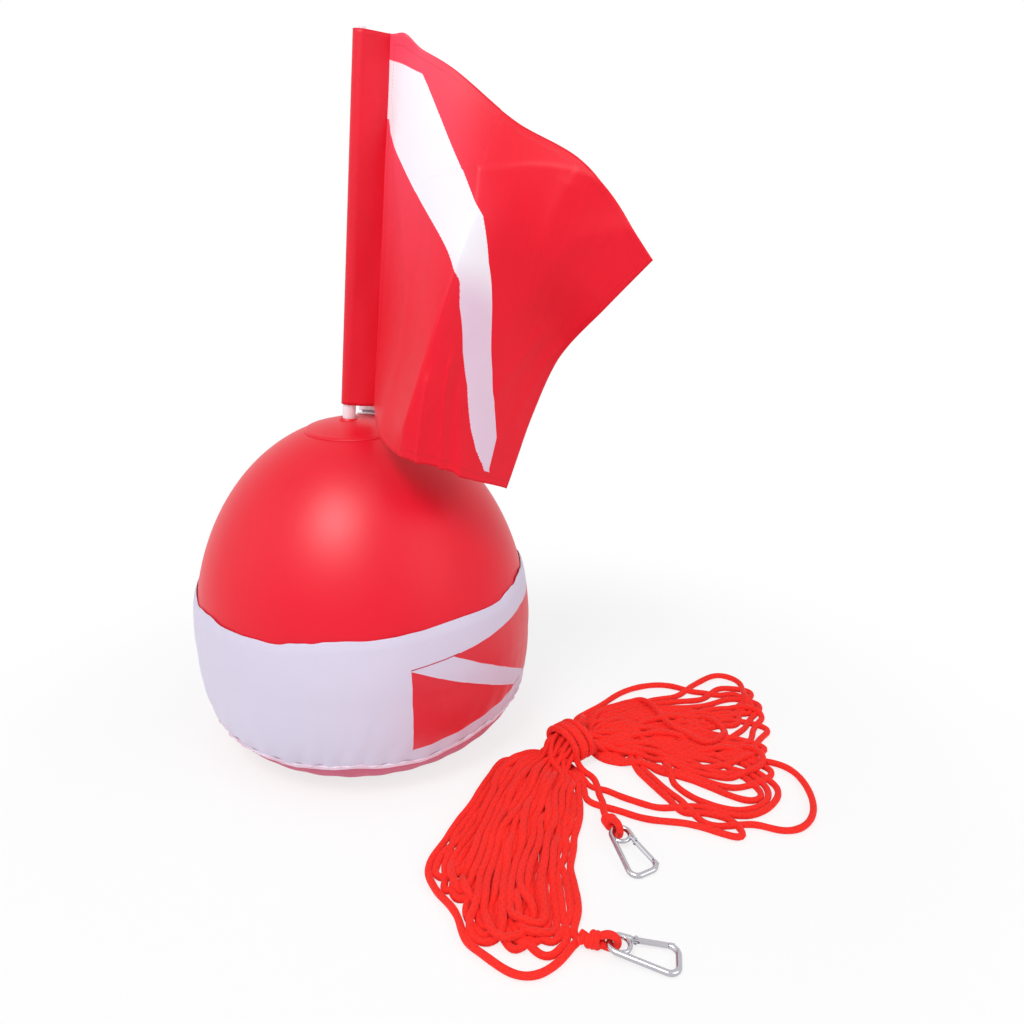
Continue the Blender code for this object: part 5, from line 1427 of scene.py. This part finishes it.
@dataclass
class Line:
    """The line: both lobes of the hank, the tie round its waist, and the free ends to the knots."""

    spacing: float = 0.005
    skin_spacing: float = 0.0028
    sides: int = 12
    tie: tuple[float, float, float] = (0.216, -0.088, 0.0200)
    heading: float = math.atan2(0.643, 0.766)
    waist_rows: tuple[int, ...] = (5, 7, 9, 7, 5)
    waist_pitch: float = 0.0043
    waist_rise: float = 0.0046
    pinch: float = 0.68
    pinch_reach: float = 0.045
    wrap_turns: float = 3.52
    wrap_pitch: float = 0.0060
    wrap_half: tuple[float, float] = (0.0225, 0.0155)
    rounds: int = 420
    stack_step: float = 0.0050
    fall: float = 0.0004
    least_bend: float = 0.013
    easing: float = 0.4
    smoothing: float = 0.9
    early_share: float = 0.55
    late_passes: int = 4
    home_pulls: tuple[float, float] = (0.010, 0.004)
    push_share: float = 0.42
    longest_push: float = 0.0015
    elbow_room: float = 1.04
    rest_lift: float = 0.0004

    def __post_init__(self) -> None:
        """Work out the tie's own directions."""
        self.along = np.array([math.cos(self.heading), math.sin(self.heading), 0.0])
        self.across = np.array([-math.sin(self.heading), math.cos(self.heading), 0.0])
        self.middle = np.array(self.tie)

    def slots(self) -> list[tuple[float, float]]:
        """Where each pass lies in the tie: across it, and up from its middle."""
        found = []
        for row, count in enumerate(self.waist_rows):
            level = (row - 0.5 * (len(self.waist_rows) - 1)) * self.waist_rise
            order = sorted(range(count), key=lambda index: (index * 3) % count)
            for index in order:
                found.append(((index - 0.5 * (count - 1)) * self.waist_pitch, level))
        return found

    def pass_through(self, slot: tuple[float, float], lobe: Lobe) -> list[np.ndarray]:
        """Points of one pass through the tie, towards a lobe."""
        side, level = slot
        points = []
        for step in (-0.016, -0.006, 0.006, 0.016):
            spread = 1.0 + max(abs(step) - 0.012, 0.0) * 20.0
            place = self.middle + self.along * step * lobe.value + self.across * side * spread
            points.append(place + np.array([0.0, 0.0, level]))
        return points

    def run(self, lobe: Lobe, share: float) -> list[np.ndarray]:
        """Places of one run, between the lobe's edges, from the tie outwards."""
        first, second = (np.array(edge) for edge in (LEFT_EDGES if lobe is Lobe.LEFT else RIGHT_EDGES))
        return list(first * (1.0 - share) + second * share)

    def loop_places(self, loop: Loop, lobe: Lobe) -> list[np.ndarray]:
        """Places of a loop on the floor, out and back."""
        if loop.places:
            return [np.array(place) for place in loop.places]
        outward = self.run(lobe, loop.shares[0])
        homeward = self.run(lobe, loop.shares[1])
        tip = np.array(loop.tip)
        way = tip - 0.5 * (outward[-2] + homeward[-2])
        way /= np.hypot(*way)
        beside = np.array([-way[1], way[0]])
        if (outward[-2] - homeward[-2]).dot(beside) < 0.0:
            beside = -beside
        centre = tip - way * loop.half_width
        bend = []
        for angle in np.radians((-80.0, -40.0, 0.0, 40.0, 80.0)):
            bend.append(centre + (way * math.cos(angle) - beside * math.sin(angle)) * loop.half_width)
        near = [place for place in outward if (centre - place).dot(way) > 1.6 * loop.half_width]
        back = [place for place in homeward if (centre - place).dot(way) > 1.6 * loop.half_width]
        return near + bend + back[::-1]

    def laid(self) -> tuple[Points, Points]:
        """The line as it is laid, loop on loop, with the points that the tie holds.

        Returns:
            The points, and whether each is held.
        """
        slots = iter(self.slots())
        places: list[np.ndarray] = []
        held: list[bool] = []
        floor = 0.5 * ROPE

        def lay(points: Iterable[Sequence[float]], level: float) -> None:
            """Add free places at a level."""
            for point in points:
                places.append(np.array([*point, level]))
                held.append(False)

        def hold(lobe: Lobe) -> None:
            """Add a pass through the tie, towards a lobe."""
            for point in self.pass_through(next(slots), lobe):
                places.append(point)
                held.append(True)

        lay(END_B_PLACES, floor)
        hold(Lobe.RIGHT)
        for index, loop in enumerate(RIGHT_LOOPS):
            level = floor + self.stack_step * (index + 1)
            if loop.outside:
                del places[-4:], held[-4:]
            lay(self.loop_places(loop, Lobe.RIGHT), level)
            hold(Lobe.LEFT)
            if index < len(LEFT_LOOPS):
                lay(self.loop_places(LEFT_LOOPS[index], Lobe.LEFT), level)
                hold(Lobe.RIGHT)
        return np.array(places), np.array(held)

    def wraps(self) -> Points:
        """The turns of the tie, from the right of the waist to its left."""
        steps = int(self.wrap_turns * 24)
        share = np.linspace(0.0, 1.0, steps + 1)
        angle = math.tau * self.wrap_turns * share
        half_across, half_up = self.wrap_half
        along = (0.5 - share) * self.wrap_turns * self.wrap_pitch
        lean = 0.0012 * np.sin(angle * 0.5)
        path = self.middle + self.along * (along + lean)[:, None]
        path = path + self.across * (half_across * np.cos(angle))[:, None]
        path[:, 2] += half_up * np.sin(angle)
        return path

    def settled(self, points: Points, held: Points, size: Points) -> Points:
        """Let the line drop until it lies on the floor and on itself.

        Args:
            points: The line as laid.
            held: Which points stay where they are.
            size: The line's diameter at each point.

        Returns:
            The points as they come to rest.
        """
        home = points[:, :2].copy()
        free = ~held
        count = len(points)
        first = second = np.zeros(0, int)
        reach = np.zeros(0)
        for turn in range(self.rounds):
            if turn % 8 == 0:
                first, second = self.near_pairs(points)
                reach = 0.5 * (size[first] + size[second]) * self.elbow_room
            points[free, 2] -= self.fall
            gap = points[first] - points[second]
            span = np.linalg.norm(gap, axis=1) + 1e-9
            push = np.clip(reach - span, 0.0, None) / span * self.push_share
            shove = gap * push[:, None]
            for axis in range(3):
                move = np.bincount(first, shove[:, axis], count) - np.bincount(second, shove[:, axis], count)
                points[:, axis] += np.where(free, np.clip(move, -self.longest_push, self.longest_push), 0.0)
            early = turn < self.early_share * self.rounds
            for _ in range(1 if early else self.late_passes):
                bend = np.zeros_like(points)
                near = 4.0 * (points[1:-3] + points[3:-1]) - 6.0 * points[2:-2]
                bend[2:-2] = (near - points[:-4] - points[4:]) / 16.0
                points[free] += self.smoothing * bend[free]
                fold = points[:-2] + points[2:] - 2.0 * points[1:-1]
                sharp = np.linalg.norm(fold, axis=1) + 1e-9
                step = 0.5 * np.linalg.norm(points[2:] - points[:-2], axis=1)
                excess = np.clip(sharp - step * step / self.least_bend, 0.0, None)
                ease = fold * (excess / sharp * self.easing)[:, None]
                eased = np.zeros_like(points)
                eased[1:-1] += ease
                eased[:-2] -= 0.5 * ease
                eased[2:] -= 0.5 * ease
                points[free] += eased[free]
            pull = self.home_pulls[0 if early else 1]
            points[free, :2] += pull * (home[free] - points[free, :2])
            points[free, 2] = np.maximum(points[free, 2], 0.5 * size[free] + 0.0002)
        return points

    def near_pairs(self, points: Points) -> tuple[Points, Points]:
        """Pairs of points close enough to touch soon, apart from close neighbours along the line."""
        small = points.astype(np.float32)
        found_first, found_second = [], []
        for start in range(0, len(small), 512):
            part = small[start : start + 512]
            square = np.zeros((len(part), len(small) - start), np.float32)
            for axis in range(3):
                square += (part[:, axis][:, None] - small[start:, axis][None, :]) ** 2
            row, column = np.nonzero(square < (1.5 * ROPE) ** 2)
            keep = column - row > 3
            found_first.append(row[keep] + start)
            found_second.append(column[keep] + start)
        return np.concatenate(found_first), np.concatenate(found_second)

    def build(self) -> None:
        """Make the main line and the second knot's tail."""
        places, held = self.laid()
        path = smooth_path(places, self.spacing, flat=True)
        wraps = self.wraps()
        lead = smooth_path([path[-1], *self.lead_places(path[-1]), wraps[0]], self.spacing)
        turns = smooth_path(wraps, self.spacing)
        finish = smooth_path([wraps[-1], *self.on_floor(END_A_PLACES)], self.spacing)
        tail = smooth_path(self.on_floor(TAIL_B_PLACES), self.spacing)
        whole = np.concatenate([path, lead[1:-1], turns, finish[1:]])
        tied = np.ones(len(lead) - 2 + len(turns), bool)
        loose = np.zeros(len(finish) - 1 + len(tail), bool)
        fixed = np.concatenate([self.in_tie(path, places[held]), tied, loose])
        tail_start = len(whole)
        fixed[[0, 1, -2, -1]] = True
        fixed[tail_start - 2 : tail_start + 2] = True
        pinch = self.pinch_near(whole)
        pinch[len(path) + len(lead) - 2 :] = 1.0
        sizes = ROPE * np.concatenate([pinch, np.ones(len(tail))])
        rest = self.settled(np.concatenate([whole, tail]), fixed, sizes)
        stands_for = ("line_hank", "line_tie", "line_end_a", "line_end_b")
        self.skin("line_rope", rest[:tail_start], pinch, stands_for)
        self.skin("line_tail", rest[tail_start:], np.ones(len(tail)), ("line_tail_b",))

    def on_floor(self, places: Sequence[Place]) -> list[np.ndarray]:
        """Places just above where the line rests on the floor."""
        return [np.array([*place, 0.5 * ROPE + self.rest_lift]) for place in places]

    def lead_places(self, start: Points) -> list[Points]:
        """Places from the last pass, out into the right lobe and back to the side of the tie."""
        side = float((start - self.middle) @ self.across)
        shares = (
            (0.028, side + 0.002, 0.028),
            (0.037, side + 0.010, 0.024),
            (0.032, 0.024, 0.019),
            (0.019, 0.0265, 0.015),
        )
        foot = self.middle * (1.0, 1.0, 0.0)
        return [foot + self.along * x + self.across * y + (0.0, 0.0, z) for x, y, z in shares]

    def from_tie(self, path: Points) -> tuple[Points, Points]:
        """How far each point lies from the tie's middle, along the waist and across it."""
        return np.abs((path - self.middle) @ self.along), np.abs((path - self.middle) @ self.across)

    def in_tie(self, path: Points, pins: Points) -> Points:
        """Which path points lie in the tie and close to a held place."""
        away, beside = self.from_tie(path)
        near = np.zeros(len(path), bool)
        for pin in pins:
            near |= np.linalg.norm(path - pin, axis=1) < 0.0075
        return near & (away < 0.0135) & (beside < 0.021)

    def pinch_near(self, path: Points) -> Points:
        """How much the tie squeezes the line at each point, as a share of its diameter."""
        away, beside = self.from_tie(path)
        ease = np.clip((np.hypot(away, np.maximum(beside - 0.02, 0.0)) - 0.012) / self.pinch_reach, 0.0, 1.0)
        return self.pinch + (1.0 - self.pinch) * ease * ease * (3.0 - 2.0 * ease)

    def skin(self, name: str, path: Points, pinch: Points, stands_for: Sequence[str]) -> None:
        fine = smooth_path(path, self.skin_spacing)
        along = lengths_along(path)
        fine_along = lengths_along(fine)
        share = np.interp(fine_along / fine_along[-1], along / along[-1], pinch)
        lumps = 1.0 + 0.018 * np.sin(fine_along * 310.0) + 0.014 * np.sin(fine_along * 173.0 + 1.0)
        rope = tube(name, fine, 0.5 * ROPE * share * lumps, self.sides)
        PAINTS.fit(rope, RED_ROPE, "line", *stands_for)


@dataclass
class Knot:
    """A knot on the floor: the line's eye round the clip's bar, bound by three turns."""

    letter: str
    place: Place
    heading: float
    stubs: tuple[float, ...]
    ring: float = 0.0043
    step: float = 0.0042
    stub: float = 0.0118
    to_bar: float = 0.0125
    bend: float = 0.0062
    sweep: float = math.radians(112.0)
    middle: float = 0.0077
    bar: float = 0.0096

    def frame(self) -> Matrix:
        """The knot's place on the floor, with local X towards its clip."""
        return Matrix.Translation((*self.place, 0.0)) @ Matrix.Rotation(self.heading, 4, "Z")

    def build(self) -> None:
        """Make the knot in rope."""
        eye = []
        for angle in np.linspace(self.sweep, -self.sweep, 13):
            reach, level = self.bend * math.cos(angle), self.bend * math.sin(angle)
            eye.append((self.to_bar + reach, 0.0, self.bar + level))
        first, last = self.stubs[0], self.stubs[-1]
        tip = (-self.stub * math.cos(first), -self.stub * math.sin(first), self.middle)
        core = [tip, (-0.0070, 0.55 * tip[1], self.middle + 0.0004), (0.0, 0.0, self.middle + 0.0018)]
        back = [(0.0, 0.0, self.middle - 0.0018)]
        if len(self.stubs) > 1:
            back.append((-0.0070, -0.0070 * math.sin(last), self.middle - 0.0004))
            back.append((-self.stub * math.cos(last), -self.stub * math.sin(last), self.middle))
        else:
            back.append((-0.0040, 0.0, self.middle - 0.0010))
        path = smooth_path(core + eye + back, 0.0009)
        squeeze = 1.0 - 0.38 * np.exp(-((path[:, 0] / 0.0052) ** 4))
        parts = [tube("knot_core", path, 0.5 * ROPE * squeeze, 16)]
        share = np.linspace(0.0, 1.0, 150)
        angle = math.tau * (2.75 * share + 0.30)
        tuck = 1.0 - 0.45 * np.exp(-share / 0.03) - 0.45 * np.exp(-(1.0 - share) / 0.03)
        radius = self.ring * tuck
        slide = self.step * (2.2 * share - 0.95) + 0.0009 * np.cos(angle)
        turns = np.stack([slide, radius * np.cos(angle), self.middle + radius * np.sin(angle)], axis=1)
        parts.append(tube("knot_turns", turns, 0.5 * ROPE * 0.93, 16))
        rope = joined("knot_%s_rope" % self.letter, parts, self.frame())
        PAINTS.fit(rope, RED_ROPE, "line", "knot_" + self.letter)


@dataclass
class Clip:
    """A snap clip's bent frame, with its bridged eye, the gate's tongue and the slotted nose."""

    knot: Knot
    rod: float = 0.0050
    bridge_rod: float = 0.0040
    length: float = 0.0600
    eye: float = 0.0080
    far_half: float = 0.0138
    far_fillet: float = 0.0075
    tongue_wall: float = 0.0018
    tongue_end: float = 0.00228
    slot: float = 0.00115
    slot_length: float = 0.0049

    def frame(self) -> Matrix:
        """The middle of the clip's eye, with local X towards its far end and local Y towards its gate."""
        knot = self.knot
        tilt = math.asin((knot.bar - 0.5 * self.rod - 0.00015) / (self.length - self.rod))
        reach = knot.to_bar + self.eye * math.cos(tilt)
        height = knot.bar - self.eye * math.sin(tilt)
        middle = knot.frame() @ Vector((reach, 0.0, height))
        turn = Matrix.Rotation(knot.heading, 4, "Z") @ Matrix.Rotation(tilt, 4, "Y")
        return Matrix.Translation(middle) @ turn

    def build(self) -> None:
        """Make the frame of the clip."""
        far = self.length - self.rod - self.eye
        eye = self.eye
        shoulder, nose = (0.0075, 1.04 * eye), (far - 0.011, 0.0128)
        far_corners = [(far, -self.far_half), (far - 0.003, self.far_half)]
        corners = [shoulder, (-eye, eye), (-eye, -eye), *far_corners, nose]
        radii = (0.999 * eye, 0.999 * eye, self.far_fillet, self.far_fillet)
        bent = rounded(corners, radii, 14)
        way = (bent[-2] - bent[-1]) / np.linalg.norm(bent[-2] - bent[-1])
        slot_end = bent[-1] + way * self.slot_length
        bent = np.concatenate([bent[:-1], [slot_end]])
        parts = [tube("clip_rod", evenly(bent, 0.0008), 0.5 * self.rod, 20)]
        swing = np.radians(np.linspace(-84.0, 84.0, 33))
        arc = np.stack([eye * np.cos(swing), eye * np.sin(swing), 0.0 * swing], axis=1)
        parts.append(tube("clip_bridge", arc, 0.5 * self.bridge_rod, 16))
        tip = evenly(np.array([slot_end - way * 0.00002, (*nose, 0.0)]), 0.0004)
        taper = 0.5 * self.rod * (1.0 - 0.22 * np.exp(-lengths_along(tip)[::-1] / 0.0006))
        for side in (1.0, -1.0):
            parts.append(sliced(tube("clip_cheek", tip, taper, 20), (0.0, 0.0, side), self.slot))
        pivot = (shoulder[0] + 0.62 * 0.006, shoulder[1])
        parts.append(self.tongue(pivot, shoulder[0] - 0.003))
        frame = joined("clip_%s_rod" % self.knot.letter, parts, self.frame())
        PAINTS.fit(frame, BRIGHT_STEEL, "clip_" + self.knot.letter, "clip_%s_frame" % self.knot.letter)

    def tongue(self, pivot: Place, root: float) -> bpy.types.Object:
        """The flat tongue that the gate turns on."""
        bm = bmesh.new()
        bmesh.ops.create_circle(bm, cap_ends=True, radius=self.tongue_end, segments=32)
        for point in bm.verts:
            if point.co.x < -0.0001:
                point.co.x -= pivot[0] - root
        made = bmesh.ops.extrude_face_region(bm, geom=bm.faces[:])
        lifted = [item for item in made["geom"] if isinstance(item, bmesh.types.BMVert)]
        bmesh.ops.translate(bm, vec=(0.0, 0.0, self.tongue_wall), verts=lifted)
        bmesh.ops.recalc_face_normals(bm, faces=bm.faces)
        return placed("clip_tongue", bm, Matrix.Translation((*pivot, -0.5 * self.tongue_wall)))


# Studio


@dataclass
class Studio:
    """Pale floor, white surroundings, soft lamps, and the camera at the photograph's angle."""

    lens: float = 31.64
    sensor: float = 36.0
    place: tuple[float, float, float] = (0.157, -0.874, 0.556)
    pitch: float = math.radians(70.0)
    ambient: float = 0.52
    key_power: float = 22.0
    left_power: float = 4.0
    fill_power: float = 7.0
    shine_power: float = 36.0
    shadow_place: Place = (0.12, -0.14)
    shadow_reach: float = 0.34
    shadow_end: float = 0.68
    shadow_share: float = 0.25

    def build(self) -> None:
        """Set up the camera, the floor, the surroundings and the lamps."""
        self.camera()
        self.floor()
        self.surroundings()
        self.lamp("key", (-0.46, -1.31, 2.07), (0.05, 0.0, 0.18), 0.75, self.key_power)
        self.lamp("left", (-1.8, -0.5, 1.0), (0.0, 0.0, 0.35), 1.5, self.left_power)
        self.lamp("fill", (1.6, -0.9, 1.1), (0.1, 0.0, 0.2), 1.2, self.fill_power)
        shine = self.lamp("shine", (-0.46, -1.31, 2.07), (0.0, 0.0, 0.25), 1.3, self.shine_power)
        shine.visible_diffuse = False
        bpy.context.scene.view_settings.view_transform = "Standard"

    def camera(self) -> None:
        """The camera."""
        data = bpy.data.cameras.new("camera")
        data.lens = self.lens
        data.sensor_width = self.sensor
        camera = link("camera", data)
        camera.location = self.place
        camera.rotation_euler = (self.pitch, 0.0, 0.0)
        bpy.context.scene.camera = camera

    def seen_white(self, graph: Graph) -> Value:
        """1 for what the camera sees directly, or in metal or glass."""
        rays = graph.node("ShaderNodeLightPath").outputs
        seen = Value(graph, rays["Is Camera Ray"]) + Value(graph, rays["Is Glossy Ray"])
        return (seen + Value(graph, rays["Is Transmission Ray"])).least(1.0)

    def blend(
        self, graph: Graph, factor: Value, first: bpy.types.Node, second: bpy.types.Node, output: str
    ) -> None:
        """Lead two shaders, mixed by a factor, to an output."""
        sockets = {0: factor, 1: first.outputs[0], 2: second.outputs[0]}
        mixed = graph.node("ShaderNodeMixShader", {}, sockets)
        graph.feed(graph.tree.nodes[output].inputs["Surface"], mixed.outputs[0])

    def floor(self) -> None:
        """A wide pale floor that still takes a faint shadow."""
        bm = bmesh.new()
        bmesh.ops.create_grid(bm, x_segments=4, y_segments=4, size=6.0)
        floor = placed("studio_floor", bm, Matrix.Translation((0.0, 0.0, -0.0004)))
        material = bpy.data.materials.new("studio_floor")
        material.use_nodes = True
        graph = Graph(material.node_tree)
        graph.dress({"Base Color": (0.96, 0.96, 0.96), "Roughness": 0.9})
        x, y, _ = graph.split(graph.place())
        x, y = x - self.shadow_place[0], y - self.shadow_place[1]
        near = graph.math("SQRT", x * x + y * y).over(self.shadow_end, self.shadow_reach)
        glow = graph.node("ShaderNodeEmission", {}, {"Color": (1.0, 1.0, 1.0), "Strength": 1.0})
        white = self.seen_white(graph) * (1.0 - self.shadow_share * near)
        self.blend(graph, white, graph.tree.nodes["Principled BSDF"], glow, "Material Output")
        floor.data.materials.append(material)

    def surroundings(self) -> None:
        """White to the camera and in reflections, and a soft even light otherwise."""
        world = bpy.data.worlds.new("studio")
        world.use_nodes = True
        bpy.context.scene.world = world
        graph = Graph(world.node_tree)
        soft = graph.tree.nodes["Background"]
        graph.feed(soft.inputs["Color"], (0.97, 0.97, 1.0))
        graph.feed(soft.inputs["Strength"], self.ambient)
        white = graph.node("ShaderNodeBackground", {}, {"Color": (1.0, 1.0, 1.0), "Strength": 1.0})
        self.blend(graph, self.seen_white(graph), soft, white, "World Output")

    def lamp(
        self, name: str, place: Sequence[float], aim: Sequence[float], size: float, power: float
    ) -> bpy.types.Object:
        """A soft square lamp."""
        data = bpy.data.lights.new(name, "AREA")
        data.size = size
        data.energy = power
        lamp = link(name, data)
        lamp.location = place
        lamp.rotation_euler = (Vector(aim) - Vector(place)).to_track_quat("-Z", "Y").to_euler()
        return lamp


CAD_FINISHES = {
    BALLAST_IRON: ("ballast_plate",),
    BRIGHT_STEEL: ("clip_a_gate", "clip_a_rivet", "clip_b_gate", "clip_b_rivet", "tow_ring"),
    WHITE_PLASTIC: ("pole_foot_plug", "pole_top_cap", "pole_tube", "valve_cap", "valve_seat"),
    WHITE_WEBBING: ("tow_tab",),
    SEAL_RUBBER: ("valve_seal",),
}


def main() -> None:
    """Build the studio and every piece."""
    logging.basicConfig(level=logging.INFO, format="%(message)s")
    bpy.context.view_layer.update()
    Studio().build()
    for finish, names in CAD_FINISHES.items():
        for name in names:
            PAINTS.give(frame["nodes"][name], finish)
    knots = (
        Knot("a", (0.2470, -0.1960), math.radians(-68.0), (0.0,)),
        Knot("b", (0.2200, -0.3335), math.radians(-15.0), (math.radians(21.0), math.radians(-21.0))),
    )
    for piece in (*knots, *(Clip(knot) for knot in knots), Line(), Ball(), Cover(), Flag()):
        piece.build()
        LOG.info("%s is built", type(piece).__name__)


if __name__ == "__main__":
    main()
